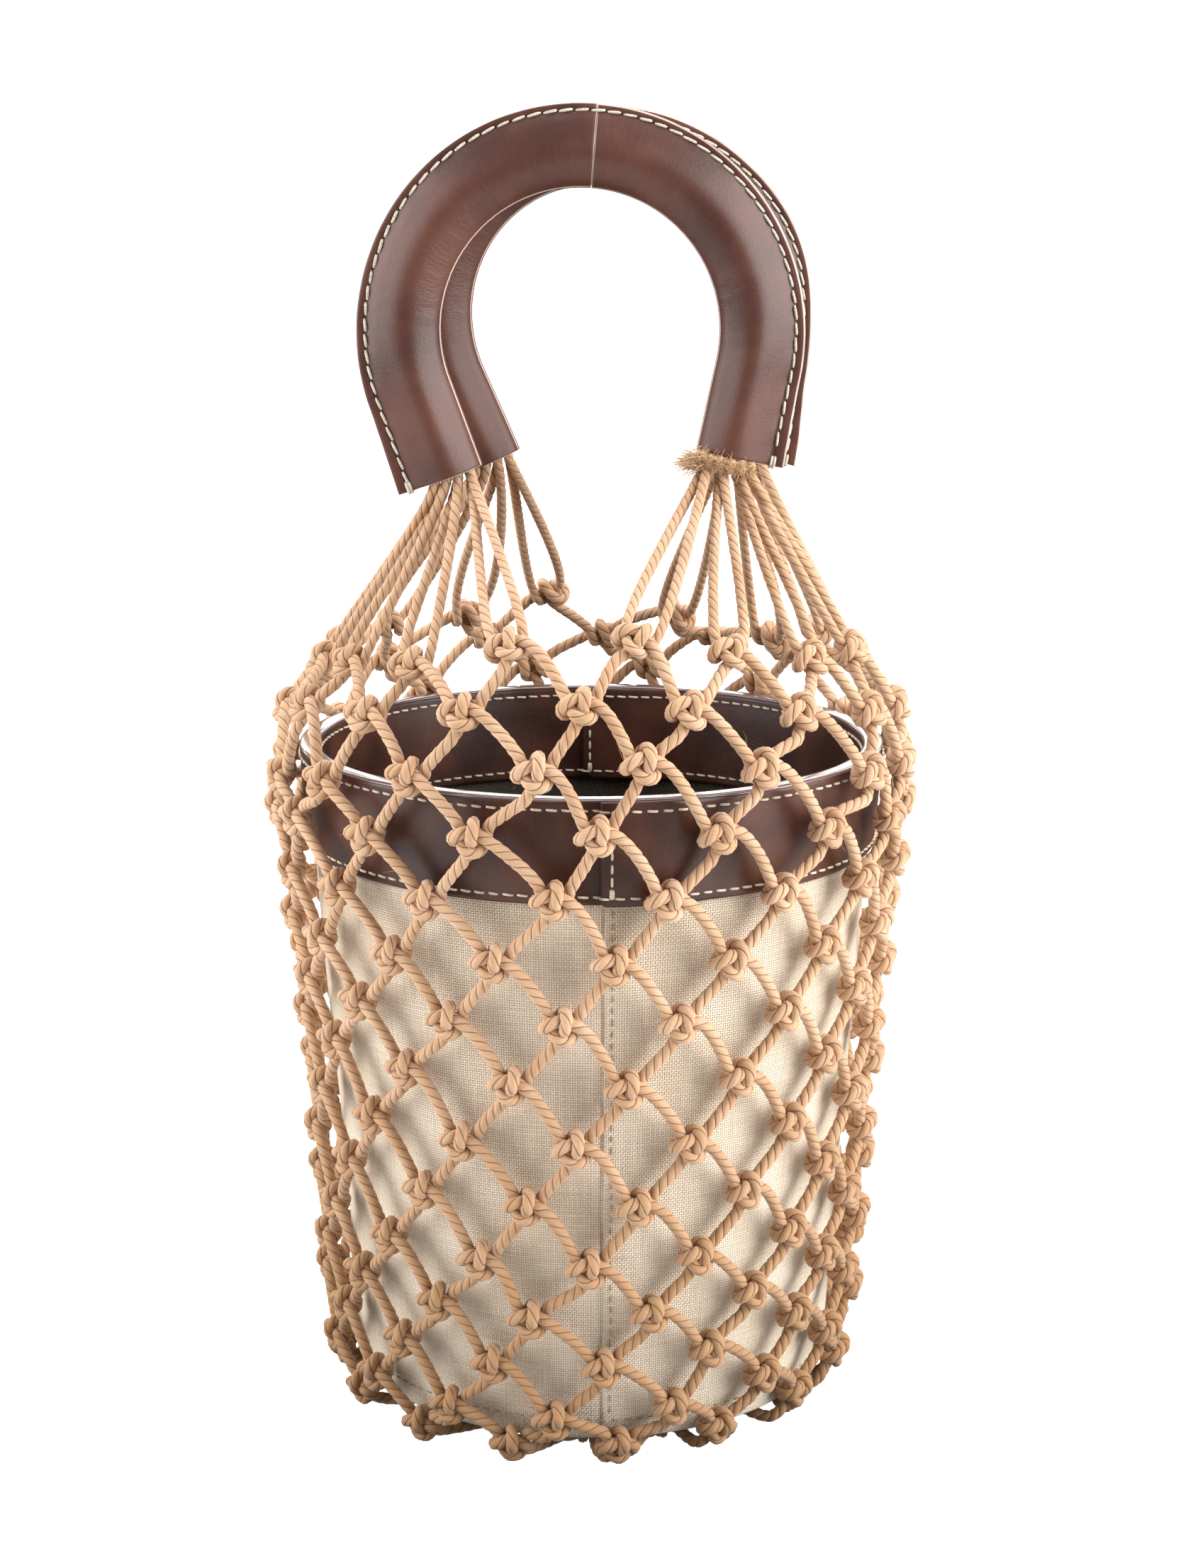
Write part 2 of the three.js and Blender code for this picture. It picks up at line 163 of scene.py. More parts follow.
def cordFinish():
    look = cordLook
    finish = Finish("camel_cord")
    place = finish.solidPlace()
    sheet = finish.sheetPlace()
    ply = (finish.split(sheet)[0] * 3).fraction()
    # painted shade: the grooves between the plies are darkened
    groove = finish.between(abs(ply - 0.5), look["grooveFrom"], 0.5)
    patches = finish.noise(place, look["patchScale"], 4.0)
    fibre = finish.noise(finish.stretched(sheet, look["fibreStretch"]), 1.0, 5.0)
    tone = finish.mix(finish.between(patches * 0.5 + fibre * 0.5, 0.36, 0.64), look["dark"], look["light"])
    # painted shade: the cord's colour darkens towards the floor, standing in for the light that doesn't reach
    # the lower net
    low = 1 - finish.between(finish.split(place)[2], 0.0, look["lowShadeTo"])
    tone = finish.mix(low * look["lowShadeShare"], tone, look["lowShade"])
    fuzz = finish.noise(place, look["fuzzScale"], 2.0)
    return finish.surface({
        "Base Color": finish.mix(groove * look["grooveShadeShare"], tone, look["groove"]),
        "Roughness": 0.74 + 0.2 * fuzz,
        "Normal": finish.bump(fibre * 0.75 + fuzz * 0.25 - groove * 0.6, 0.3 * mm, 0.8),
        "Specular IOR Level": 0.22,
        "Sheen Weight": 0.3,
        "Sheen Roughness": 0.5,
    })


linenLook = {
    "thread": srgb(246, 233, 214),
    "shade": srgb(220, 202, 177),
    "hole": srgb(134, 107, 79),
    "pitch": 0.85 * mm,
    "slubAcross": 1150.0,  # thick and thin places, finer across a thread than along it
    "slubAlong": 60.0,
    "blotchScale": 26,
    "relief": 0.28 * mm,
}


def linenFinish(name, depth):
    look = linenLook
    finish = Finish(name)
    sheet = finish.sheetPlace()
    across, up, _ = finish.split(sheet)
    warp = across / look["pitch"]
    weft = up / look["pitch"]
    offWarp = abs(warp.fraction() - 0.5) * 2  # 0 in the middle of a thread, 1 between two
    offWeft = abs(weft.fraction() - 0.5) * 2
    over = ((warp.whole() + weft.whole()) * 0.5).fraction() * 2  # 1 where the weft lies on top
    slubWarp = finish.noise(finish.stretched(sheet, (look["slubAcross"], look["slubAlong"], 1.0)), 1.0, 2.0)
    slubWeft = finish.noise(finish.stretched(sheet, (look["slubAlong"], look["slubAcross"], 1.0)), 1.0, 2.0)
    top = over * (1 - offWeft * offWeft) + (1 - over) * (1 - offWarp * offWarp)
    slub = over * slubWeft + (1 - over) * slubWarp
    # painted shade in the weave: the holes between threads are dark, and threads that dip under take the
    # shade colour
    hole = finish.between(offWarp * offWeft, 0.42, 0.72)
    blotch = finish.noise(finish.solidPlace(), look["blotchScale"], 3.0)
    tone = finish.mix(finish.between(slub * 0.75 + blotch * 0.4, 0.4, 0.74), look["shade"], look["thread"])
    threads = finish.mix(1 - finish.between(top, 0.0, 0.7), tone, look["shade"])
    colour = finish.mix(hole * 0.9, threads, look["hole"])
    colour = finish.mix(1.0, colour, (depth, depth, depth, 1.0), "MULTIPLY")
    return finish.surface({
        "Base Color": colour,
        "Roughness": 0.88 - 0.1 * slub,
        "Normal": finish.bump(top * 0.8 + slub * 0.5 - hole * 0.5, look["relief"], 0.9),
        "Specular IOR Level": 0.2,
        "Sheen Weight": 0.15,
    })


leatherBasics = {
    "cloudScale": 34,
    "lines": (300.0, 300.0, 1.0),
    "coat": 0.0,
    "coatRoughness": 0.3,
    "wave": 0.0,  # soft unevenness
    "creases": 0.0,
    "creaseStretch": (110.0, 460.0, 1.0),
    "creaseWidth": 0.07,
    "creaseAcross": [2 * mm, 6 * mm, 11 * mm, 19 * mm],  # from the fold: start, full, full, end
    "creaseAlong": [20 * mm, 60 * mm],  # from the mouth: start, full
    "sheenAndShadeMarks": [],
}

rimLeatherLook = leatherBasics | {
    "light": srgb(90, 53, 39),
    "dark": srgb(54, 30, 23),
    "lines": (70.0, 1500.0, 1.0),
    "grainScale": 1100,
    "relief": 0.08 * mm,
    "roughness": 0.4,
    "gloss": 0.42,
    "wave": 3.0,
}

handleLeatherLook = leatherBasics | {
    "light": srgb(104, 65, 53),
    "dark": srgb(76, 45, 37),
    "lines": (120.0, 800.0, 1.0),
    "grainScale": 900,
    "relief": 0.09 * mm,
    "roughness": 0.41,
    "gloss": 0.45,
    "wave": 4.0,
    "creases": 0.7,
    "sheenAndShadeMarks": [  # distance from the fold, half width, colour: pale fold, painted highlight on partly rubbed leather; dark line beside the stitches, painted shade in their crease
        (1.5 * mm, 0.55 * mm, srgb(226, 200, 186)),
        # dark line beside the stitches: painted shade in the crease between tube and flange
        (29.6 * mm, 0.7 * mm, srgb(56, 34, 28)),
    ],
}

rawLeatherLook = leatherBasics | {
    "light": srgb(222, 204, 192),
    "dark": srgb(180, 152, 138),
    "grainScale": 900,
    "relief": 0.1 * mm,
    "roughness": 0.55,
    "gloss": 0.4,
}

paintedEdgeLook = leatherBasics | {
    "light": srgb(120, 98, 98),
    "dark": srgb(92, 70, 70),
    "grainScale": 600,
    "relief": 0.03 * mm,
    "roughness": 0.2,
    "gloss": 1.0,
    "coat": 1.0,
    "coatRoughness": 0.12,
}


# Leather with fine grain lines. Creases and the painted lines, a pale fold with painted highlight and a
# painted shade beside the stitches, are placed by the distance from the fold.
def leatherFinish(name, look):
    finish = Finish(name)
    place = finish.solidPlace()
    sheet = finish.sheetPlace()
    across, along, _ = finish.split(sheet)
    cloud = finish.noise(place, look["cloudScale"], 4.0)
    lines = finish.noise(finish.stretched(sheet, look["lines"]), 1.0, 3.0)
    grain = finish.node("ShaderNodeTexVoronoi", {}, {"Vector": place, "Scale": look["grainScale"]})
    pores = finish.noise(place, look["grainScale"] * 2.2, 2.0)
    tone = finish.mix(finish.between(cloud * 0.88 + lines * 0.12, 0.34, 0.66), look["dark"], look["light"])
    colour = finish.mix(finish.between(pores, 0.6, 0.78) * 0.4, tone, look["dark"])
    relief = grain * -0.5 + pores * 0.35 + lines * 0.15 + cloud * look["wave"]
    if look["creases"]:
        folds = finish.noise(finish.stretched(sheet, look["creaseStretch"]), 1.0, 3.0)
        start, full, fullTo, end = look["creaseAcross"]
        bent = finish.between(across, start, full) * (1 - finish.between(across, fullTo, end))
        bent = bent * finish.between(along, *look["creaseAlong"]) * finish.between(cloud, 0.3, 0.6)
        crease = 1 - finish.between(abs(folds - 0.5), 0.0, look["creaseWidth"])
        relief = relief - crease * bent * look["creases"]
    # lines of painted highlight and painted shade along the handle
    for at, halfWidth, shade in look["sheenAndShadeMarks"]:
        near = 1 - finish.between(abs(across - at), halfWidth * 0.5, halfWidth)
        colour = finish.mix(near * (0.65 + 0.5 * cloud), colour, shade)
    return finish.surface({
        "Base Color": colour,
        "Roughness": look["roughness"] + 0.14 * (cloud - 0.5) + 0.12 * (pores - 0.5),
        "Normal": finish.bump(relief, look["relief"], 0.6),
        "Specular IOR Level": look["gloss"],
        "Coat Weight": look["coat"],
        "Coat Roughness": look["coatRoughness"],
    })


threadLook = {
    "strandStretch": (1400.0, 1400.0, 2600.0),
    "shade": 0.62,  # of the thread's colour, between its strands
    "relief": 0.2 * mm,
}


def threadFinish(name, colour):
    look = threadLook
    finish = Finish(name)
    strands = finish.noise(finish.stretched(finish.solidPlace(), look["strandStretch"]), 1.0, 2.0)
    shade = tuple(value * look["shade"] for value in colour[:3]) + (1.0,)
    return finish.surface({
        "Base Color": finish.mix(finish.between(strands, 0.3, 0.62), shade, colour),
        "Roughness": 0.6 + 0.2 * strands,
        "Normal": finish.bump(strands, look["relief"], 0.6),
        "Specular IOR Level": 0.3,
    })


cordMaterial = cordFinish()
frayMaterial = threadFinish("frayed_cord", srgb(232, 194, 154))
linenMaterial = linenFinish("oatmeal_linen", 1.0)
# the same linen darkened to a tenth, for the inside of the wall and for the base
darkLinenMaterial = linenFinish("dark_linen_inside", 0.1)
rimMaterial = leatherFinish("rim_leather", rimLeatherLook)
handleMaterial = leatherFinish("handle_leather", handleLeatherLook)
rawMaterial = leatherFinish("leather_cut_edge", rawLeatherLook)
edgeMaterial = leatherFinish("painted_edge", paintedEdgeLook)
creamMaterial = threadFinish("cream_thread", srgb(232, 222, 202))
linenThreadMaterial = threadFinish("linen_thread", srgb(190, 172, 144))
print("finishes made")


# Mesh tools.
def unit(vectors):
    return vectors / np.linalg.norm(vectors, axis=-1, keepdims=True)


def smoothstep(value, low, high):
    share = np.clip((np.asarray(value, float) - low) / (high - low), 0, 1)
    return share * share * (3 - 2 * share)


# Points at angles from the front, positive to the right.
def polar(degrees, radius, z):
    angle = np.radians(degrees)
    return np.stack(np.broadcast_arrays(radius * np.sin(angle), -radius * np.cos(angle), z), axis=-1)


# Directions at angles round a line, from two directions across it.
def around(angle, side, back):
    return np.cos(angle)[..., None] * side + np.sin(angle)[..., None] * back


def runAlong(path):
    return np.concatenate([[0], np.cumsum(np.linalg.norm(np.diff(path, axis=0), axis=1))])


def smoothPath(points, perSpan=8, closed=False):
    points = np.asarray(points, float)
    if closed:
        rail = np.vstack([points[-1:], points, points[:2]])
    else:
        rail = np.vstack([2 * points[:1] - points[1:2], points, 2 * points[-1:] - points[-2:-1]])
    p0, p1, p2, p3 = (rail[i:len(rail) - 3 + i, None] for i in range(4))
    span = [np.sqrt(np.linalg.norm(b - a, axis=2, keepdims=True)) for a, b in ((p0, p1), (p1, p2), (p2, p3))]
    t1 = span[0]
    t2 = t1 + span[1]
    t3 = t2 + span[2]
    t = t1 + span[1] * np.linspace(0, 1, perSpan, endpoint=False)[None, :, None]
    a1 = ((t1 - t) * p0 + t * p1) / t1
    a2 = ((t2 - t) * p1 + (t - t1) * p2) / span[1]
    a3 = ((t3 - t) * p2 + (t - t2) * p3) / span[2]
    b1 = ((t2 - t) * a1 + t * a2) / t2
    b2 = ((t3 - t) * a2 + (t - t1) * a3) / (t3 - t1)
    path = (((t2 - t) * b1 + (t - t1) * b2) / span[1]).reshape(-1, 3)
    return path if closed else np.vstack([path, points[-1:]])


def evenly(path, step, closed=False):
    if closed:
        path = np.vstack([path, path[:1]])
    along = runAlong(path)
    count = max(3, int(round(along[-1] / step)))
    stations = np.linspace(0, along[-1], count + 1)
    spaced = np.stack([np.interp(stations, along, path[:, axis]) for axis in range(3)], axis=1)
    return spaced[:-1] if closed else spaced


# A part is a dictionary of points, groups of faces with equally many corners, and their sheet places.
def makeMesh(name, parts, materials, faceMaterial=None):
    points = np.concatenate([part["points"] for part in parts])
    offsets = np.cumsum([0] + [len(part["points"]) for part in parts[:-1]])
    faces = [face + offset for part, offset in zip(parts, offsets) for face in part["faces"]]
    uvs = np.concatenate([uv.reshape(-1, 2) for part in parts for uv in part["uvs"]])
    sizes = np.concatenate([np.full(len(face), face.shape[1]) for face in faces])
    corners = np.concatenate([face.ravel() for face in faces]).astype(np.int32)
    starts = np.concatenate([[0], np.cumsum(sizes)[:-1]]).astype(np.int32)
    mesh = bpy.data.meshes.new(name)
    mesh.vertices.add(len(points))
    mesh.vertices.foreach_set("co", (points * mm).astype(np.float32).ravel())
    mesh.loops.add(len(corners))
    mesh.loops.foreach_set("vertex_index", corners)
    mesh.polygons.add(len(sizes))
    mesh.polygons.foreach_set("loop_start", starts)
    mesh.update(calc_edges=True)
    layer = mesh.uv_layers.new(name="UVMap")
    layer.uv.foreach_set("vector", uvs.astype(np.float32).ravel())
    mesh.shade_smooth()
    for material in materials:
        mesh.materials.append(material)
    if faceMaterial is not None:
        mesh.polygons.foreach_set("material_index", faceMaterial.astype(np.int32))
    return mesh


def addObject(name, data):
    made = bpy.data.objects.new(name, data)
    bpy.context.scene.collection.objects.link(made)
    return made


def makePiece(name, parts, materials, replaces=(), faceMaterial=None):
    mesh = makeMesh(name, parts, materials, faceMaterial)
    piece = addObject(name, mesh)
    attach(piece, "root")
    if replaces:
        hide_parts(*replaces)
    print(f"{name}: {len(mesh.loops) - 2 * len(mesh.polygons)} triangles")
    return piece


# A grid of points, rows x columns, either of which may close on itself.
def gridPart(grid, sheet, wrapColumns=False, wrapRows=False):
    rows, columns = grid.shape[:2]
    index = np.arange(rows * columns).reshape(rows, columns)
    i = np.arange(rows if wrapRows else rows - 1)[:, None]
    k = np.arange(columns if wrapColumns else columns - 1)[None, :]
    order = [(0, 0), (0, 1), (1, 1), (1, 0)]
    quads = np.stack([index[(i + di) % rows, (k + dk) % columns] for di, dk in order], axis=-1)
    uv = np.stack([sheet[i + di, k + dk] for di, dk in order], axis=-2)
    return {"points": grid.reshape(-1, 3), "faces": [quads.reshape(-1, 4)], "uvs": [uv.reshape(-1, 4, 2)]}


# Sheet places of a grid from its places across and along a sheet, in metres.
def sheetPlaces(across, along):
    return np.stack(np.broadcast_arrays(across[None], along[:, None]), axis=-1)


def evenSheet(grid, place=0.0):
    return np.full((grid.shape[0] + 1, grid.shape[1] + 1, 2), place)


def capPart(part, ring, flip):
    face = np.array([ring[::-1] if flip else ring])
    part["faces"].append(face)
    part["uvs"].append(np.zeros((1, len(ring), 2)))


def closeEnds(part, rows, columns):
    ring = np.arange(columns)
    capPart(part, ring, True)
    capPart(part, ring + (rows - 1) * columns, False)


# Many closed tubes in one part, from points by tube, ring and side.
def tubesPart(points, place=0.0):
    count, rings, sides = points.shape[:3]
    index = np.arange(count * rings * sides).reshape(count, rings, sides)
    after = np.roll(index, -1, axis=2)
    quads = np.stack([index[:, :-1], after[:, :-1], after[:, 1:], index[:, 1:]], axis=-1).reshape(-1, 4)
    caps = np.concatenate([index[:, 0, ::-1], index[:, -1]])
    uvs = [np.full((*faces.shape, 2), place) for faces in (quads, caps)]
    return {"points": points.reshape(-1, 3), "faces": [quads, caps], "uvs": uvs}


def sideAngles(sides):
    return np.arange(sides) * 2 * math.pi / sides


# Laid cord: three plies twisted to the left around a path.
rope = {
    "diameter": 4.0,
    "lay": 11.2,  # length of one turn of the plies
    "step": 1.1,
    "sectionDegrees": [0, 17, 60, 103],  # groove, flank, crown, flank of one ply
    "sectionRadii": [0.84, 0.98, 1.04, 0.98],
    "swell": 0.035,  # slow change of an open cord's thickness
    "swellLength": 17,
}


# Directions along and across a path that turn as little as they can, and the turn left over where it closes.
def sideFrames(points, closed):
    if closed:
        tangents = unit(np.roll(points, -1, axis=0) - np.roll(points, 1, axis=0))
    else:
        tangents = unit(np.gradient(points, axis=0))
    side = unit(np.cross(tangents[0], (0.31, 0.17, 0.93)))
    sides = [side]
    count = len(points)
    for i in range(count if closed else count - 1):
        after = (i + 1) % count
        step = points[after] - points[i]
        scale = 2 / (step @ step)
        side = side - scale * (step @ side) * step
        mirrored = tangents[i] - scale * (step @ tangents[i]) * step
        turn = tangents[after] - mirrored
        side = side - 2 * (turn @ side) / max(turn @ turn, 1e-12) * turn
        sides.append(side)
    slip = 0.0
    if closed:
        last = sides.pop()
        slip = math.atan2(np.cross(sides[0], last) @ tangents[0], sides[0] @ last)
    return tangents, np.array(sides), slip


def ropePart(path, closed=False, diameter=None, step=None):
    diameter = diameter or rope["diameter"]
    points = evenly(path, step or rope["step"], closed)
    count = len(points)
    tangents, sides, slip = sideFrames(points, closed)
    backs = np.cross(tangents, sides)
    spacing = np.linalg.norm(points[1] - points[0])
    spans = count if closed else count - 1
    length = spacing * spans
    turns = length / rope["lay"]
    turns = round(turns) if closed else turns
    stations = np.arange(count) / spans
    twist = -stations * (2 * math.pi * turns + slip) + draw.uniform(0, 2 * math.pi)
    degrees = np.concatenate([np.array(rope["sectionDegrees"]) + 120 * ply for ply in range(3)])
    radii = np.tile(rope["sectionRadii"], 3) * diameter / 2
    swell = 1 + rope["swell"] * np.sin(stations * length / rope["swellLength"] + draw.uniform(0, 6))
    if closed:
        swell = np.ones(count)
    angle = np.radians(degrees)[None] + twist[:, None]
    reach = (radii[None] * swell[:, None])[..., None]
    grid = points[:, None] + reach * around(angle, sides[:, None], backs[:, None])
    sheet = sheetPlaces(np.append(degrees / 360, 1.0), np.arange(count + 1) * spacing * mm)
    part = gridPart(grid, sheet, wrapColumns=True, wrapRows=closed)
    if not closed:
        closeEnds(part, count, len(degrees))
    return part


# Netting knot, in cord diameters: x right, y up, z out of the net.
# The bight hangs from the two upper strands. The turn comes from the lower left strand, rises through
# the bight, goes round behind it, crosses the front under itself and leaves to the lower right.
netKnot = {
    "bight": [
        (-1.3, 2.4, 0.0), (-0.95, 1.4, 0.0), (-0.72, 0.7, -0.1), (-0.6, 0.1, 0.0), (-0.35, -0.3, 0.5),
        (0.15, -0.62, 0.8), (0.62, -0.9, 0.5), (0.88, -0.8, -0.1), (0.85, -0.3, -0.4), (0.95, 0.25, -0.3),
        (1.4, 0.8, -0.15), (2.3, 1.65, 0.0),
    ],
    "turn": [
        (-1.5, -2.7, 0.0), (-0.75, -1.5, -0.2), (-0.3, -0.9, -0.35), (0.05, -0.35, 0.05), (0.3, 0.05, 0.7),
        (0.45, 0.45, 1.0), (0.5, 0.9, 0.85), (0.5, 1.15, 0.15), (0.25, 0.95, -0.7), (-0.35, 0.35, -1.0),
        (-1.0, -0.15, -0.7), (-1.3, -0.4, 0.0), (-1.2, 0.1, 0.55), (-0.8, 0.65, 0.85), (-0.25, 0.68, 0.75),
        (0.15, 0.3, 0.3), (0.6, 0.0, 0.05), (1.1, -0.1, 0.2), (1.65, -0.3, 0.2), (2.2, -0.9, 0.1),
    ],
    "spacing": 0.2,
    "room": 0.86,  # least distance of two stretches of cord
    "neighbour": 1.25,  # along the cord, stretches closer than this don't push
    "rounds": 140,
    "push": 0.16,  # share of a move made in one round
    "firm": 1.9,  # beyond this the strands stay in place
    "trim": (6, 7, 6, 5),  # points cut off where the strands begin
}


def settledKnot():
    plan = netKnot
    cords = [evenly(smoothPath(plan[key]), plan["spacing"]) for key in ("bight", "turn")]
    points = np.vstack(cords)
    owner = np.repeat([0, 1], [len(cord) for cord in cords])
    order = np.concatenate([np.arange(len(cord)) for cord in cords])
    apart = np.abs(order[:, None] - order[None]) * plan["spacing"] > plan["neighbour"]
    apart |= owner[:, None] != owner[None]
    free = (np.abs(points[:, :2]).max(axis=1) < plan["firm"])[:, None]
    inner = np.ones(len(points), bool)
    inner[[0, len(cords[0]) - 1, len(cords[0]), -1]] = False
    for _ in range(plan["rounds"]):
        lines = points[:, None] - points[None]
        distance = np.linalg.norm(lines, axis=2) + 1e-9
        deep = np.where(apart, np.clip(plan["room"] - distance, 0, None), 0)
        push = (lines * (deep / distance)[..., None]).sum(axis=1)
        points = points + plan["push"] * push * free
        relaxed = points.copy()
        relaxed[1:-1] += plan["push"] * ((points[:-2] + points[2:]) / 2 - points[1:-1])
        points = np.where(free & inner[:, None], relaxed, points)
    bight, turn = points[owner == 0], points[owner == 1]
    return bight[plan["trim"][0]:-plan["trim"][1]], turn[plan["trim"][2]:-plan["trim"][3]]


knotBight, knotTurn = settledKnot()
print("knot settled")


# Camera, floor and light.
photo = {
    "eye": (0.9, -957.07, 425.0),
    "pitch": 12.49,  # degrees below the horizon
    "lens": 65.27,
}
camera = addObject("camera", bpy.data.cameras.new("camera"))
camera.data.lens = photo["lens"]
camera.location = np.array(photo["eye"]) * mm
camera.rotation_euler = (math.radians(90 - photo["pitch"]), 0, 0)
bpy.context.scene.camera = camera

studio = {  # in metres
    "floorRadius": 2.2,
    "bowlRadius": 3.4,
    "bowlHeight": 2.6,
    "white": (0.86, 0.86, 0.86, 1.0),
    "glow": 1.0,
    "world": 0.2,
    "lamps": [  # place, aim, width, height, watts
        ((-1.46, -0.32, 0.75), (0, 0, 0.2), 1.3, 1.6, 35.0),  # left
        ((1.38, -0.58, 0.75), (0, 0, 0.2), 1.3, 1.6, 48.5),  # right
        ((0.0, 0.35, 1.8), (0, 0, 0.22), 1.4, 1.0, 20.0),  # above
        ((0.0, 1.7, 0.8), (0, 0, 0.22), 2.2, 0.7, 18.0),  # behind
        ((0.0, -0.31, 0.004), (0, -0.31, 1.0), 1.4, 0.38, 1.9),  # white table in front and at both sides
        ((-0.45, -0.1, 0.004), (-0.45, -0.1, 1.0), 0.6, 0.6, 1.0),
        ((0.45, -0.1, 0.004), (0.45, -0.1, 1.0), 0.6, 0.6, 1.0),
    ],
}


def buildFloor():
    finish = Finish("studio_white")
    material = finish.surface({
        "Base Color": studio["white"],
        "Roughness": 0.7 + 0.1 * finish.noise(finish.solidPlace(), 0.7, 1.0),
        "Emission Color": white,
        "Emission Strength": studio["glow"],
    })
    rise = np.linspace(0, math.pi / 2, 14)
    flat = np.linspace(0.02, studio["floorRadius"], 24)
    bend = studio["bowlRadius"] - studio["floorRadius"]
    radii = np.concatenate([flat, flat[-1] + bend * np.sin(rise), [studio["bowlRadius"]]])
    heights = np.concatenate([flat * 0, bend * (1 - np.cos(rise)), [studio["bowlHeight"]]])
    grid = polar(np.arange(0, 360, 5.0), radii[::-1, None], heights[::-1, None]) / mm
    rows, columns = grid.shape[:2]
    part = gridPart(grid, evenSheet(grid), wrapColumns=True)
    capPart(part, np.arange(columns) + (rows - 1) * columns, False)
    floor = addObject("floor", makeMesh("floor", [part], [material]))
    floor.visible_diffuse = False  # white to the eye, but throws no light on the bag
    floor.visible_glossy = False


def buildLights():
    world = bpy.data.worlds.new("soft_white")
    world.use_nodes = True
    background = world.node_tree.nodes["Background"]
    background.inputs["Color"].default_value = white
    background.inputs["Strength"].default_value = studio["world"]
    bpy.context.scene.world = world
    for number, (place, aim, width, height, watts) in enumerate(studio["lamps"]):
        light = bpy.data.lights.new(f"softbox_{number}", "AREA")
        light.shape = "RECTANGLE"
        light.size = width
        light.size_y = height
        light.energy = watts
        lamp = addObject(f"softbox_{number}", light)
        lamp.location = place
        lamp.visible_camera = False
        away = Vector(place) - Vector(aim)
        lamp.rotation_euler = away.to_track_quat("Z", "Y").to_euler()
    bpy.context.scene.view_settings.view_transform = "Standard"


buildFloor()
buildLights()
print("studio built")


# The net: 16 columns of knots on a shell around the bucket. Every row is one cord that closes on itself.
floorRoom = 8.0  # height of the bucket's underside
net = {
    "columns": 16,
    "lastRow": 15,
    "firstPhase": -3.4,  # degrees by which the first row is turned from the front
    "drift": 1.44,  # degrees of turn from one row to the next
    # row, height, radius, rise at front and back, rise at the front, lean, turn and spread in degrees
    "shell": [
        (1, 256.6, 91, 6.7, 4.8, 0.2, -1.2, -1.7), (2, 240.2, 103, 6.4, 4.3, 0.6, -0.3, -4.4),
        (3, 222.4, 107, 7.9, 3, 1.9, 0, -2.9), (4, 204.5, 106.5, 5.5, 1.8, 1, 0.3, -1.5),
        (6, 166.4, 102.3, 2.6, 0.5, 0.8, 0.3, -2.8), (8, 127.7, 98.6, -0.1, 0.1, -0.6, 0, -0.7),
        (11, 68, 94.8, -1.9, -0.3, 2, -0.5, -1), (14, 16.1, 91.4, -3.4, -0.6, 5.9, -0.2, 1.3),
        (15, 2.5, 88, -1.5, -0.2, 3.5, -0.4, 1.6),
    ],
    "moved": [  # row, column, degrees round the bag, height
        (1, 0, 2.3, 1.5), (1, 3, -3.5, 3.9), (1, 6, -6.8, -8.8), (1, 7, -3.9, -7.4), (1, 8, 3.1, -1.4),
        (1, 9, 0.4, -4.9), (1, 14, -1.4, -3.4), (1, 15, -1.3, 1), (2, 1, -1.6, -0.5), (2, 8, 0, -3.2),
        (2, 13, 0.8, 3.5), (3, 0, -1.5, 0.8), (3, 1, -1.8, 0), (3, 2, 3.6, -1), (3, 15, 1.8, -0.5),
        (4, 1, -1.3, 0.4), (4, 13, -1, 2.7), (5, 15, 1.5, 0.6), (12, 15, -1.6, -0.8), (14, 0, 1.3, 0),
    ],
    "ease": [(0.8, 0.5), (0.5, 0.45)],  # sag of the strands that fall and rise to the right
    "lead": 20.0,  # a first knot points this far towards its handle
    "knotUnit": 3.9,
    "knotTurn": 5.0,  # spread of the knots' tilt in degrees, of their place and size
    "knotShift": 0.6,
    "knotSize": 0.035,
    "bands": {"net_upper": (1, 4), "net_middle": (5, 8), "net_lower": (9, 12), "net_foot": (13, 15)},
}
under = {
    "knotRadius": 64.5,  # the last row of knots lies below the bucket
    "knotHeight": 4.3,
    "flat": 0.62,
    "turnRadius": 82.5,  # where the strands turn in below the bucket
    "turnHeight": 4.0,
    "turnDegrees": 3.5,  # to either side of the knot above
    "ringReach": 31.0,  # where they end, in the ring
    "ringHeight": 2.6,
    "ringDegrees": 7.5,
    "perSpan": 14,  # points of a strand between two of its marks
    "ringPerSpan": 24,
    "coils": [(24.0, 2.1), (28.0, 2.1), (32.0, 2.1), (24.0, 5.75), (28.0, 5.75), (32.0, 5.75)],
    "step": 1.5,
}


# Values of the shell's table at a row, for some of its columns.
def shellAt(row, columns):
    table = np.array(net["shell"], float)
    return [np.interp(row, table[:, 0], table[:, column]) for column in columns]


def shellPoint(row, degrees):
    z, radius, rise, front, lean = shellAt(row, range(1, 6))
    angle = np.radians(degrees)
    lift = rise * np.cos(2 * angle) + front * np.cos(angle) + lean * np.sin(angle)
    return polar(degrees, radius, floorRoom + z + lift)


def knotDegrees(row):
    columns = np.arange(net["columns"]) + (0.5 if row % 2 else 0.0)
    degrees = net["firstPhase"] + net["drift"] * (row - 1) + columns * 360 / net["columns"]
    turn, spread = shellAt(row, (6, 7))
    degrees = degrees + turn + spread * np.sin(np.radians(degrees))
    for movedRow, column, shift, _ in net["moved"]:
        degrees[column] += shift if movedRow == row else 0
    return degrees


# Columns of the next row's knots to the left and right, below or above a row.
def neighbours(row):
    columns = np.arange(net["columns"])
    left = columns if row % 2 else columns - 1
    return left % net["columns"], (left + 1) % net["columns"]


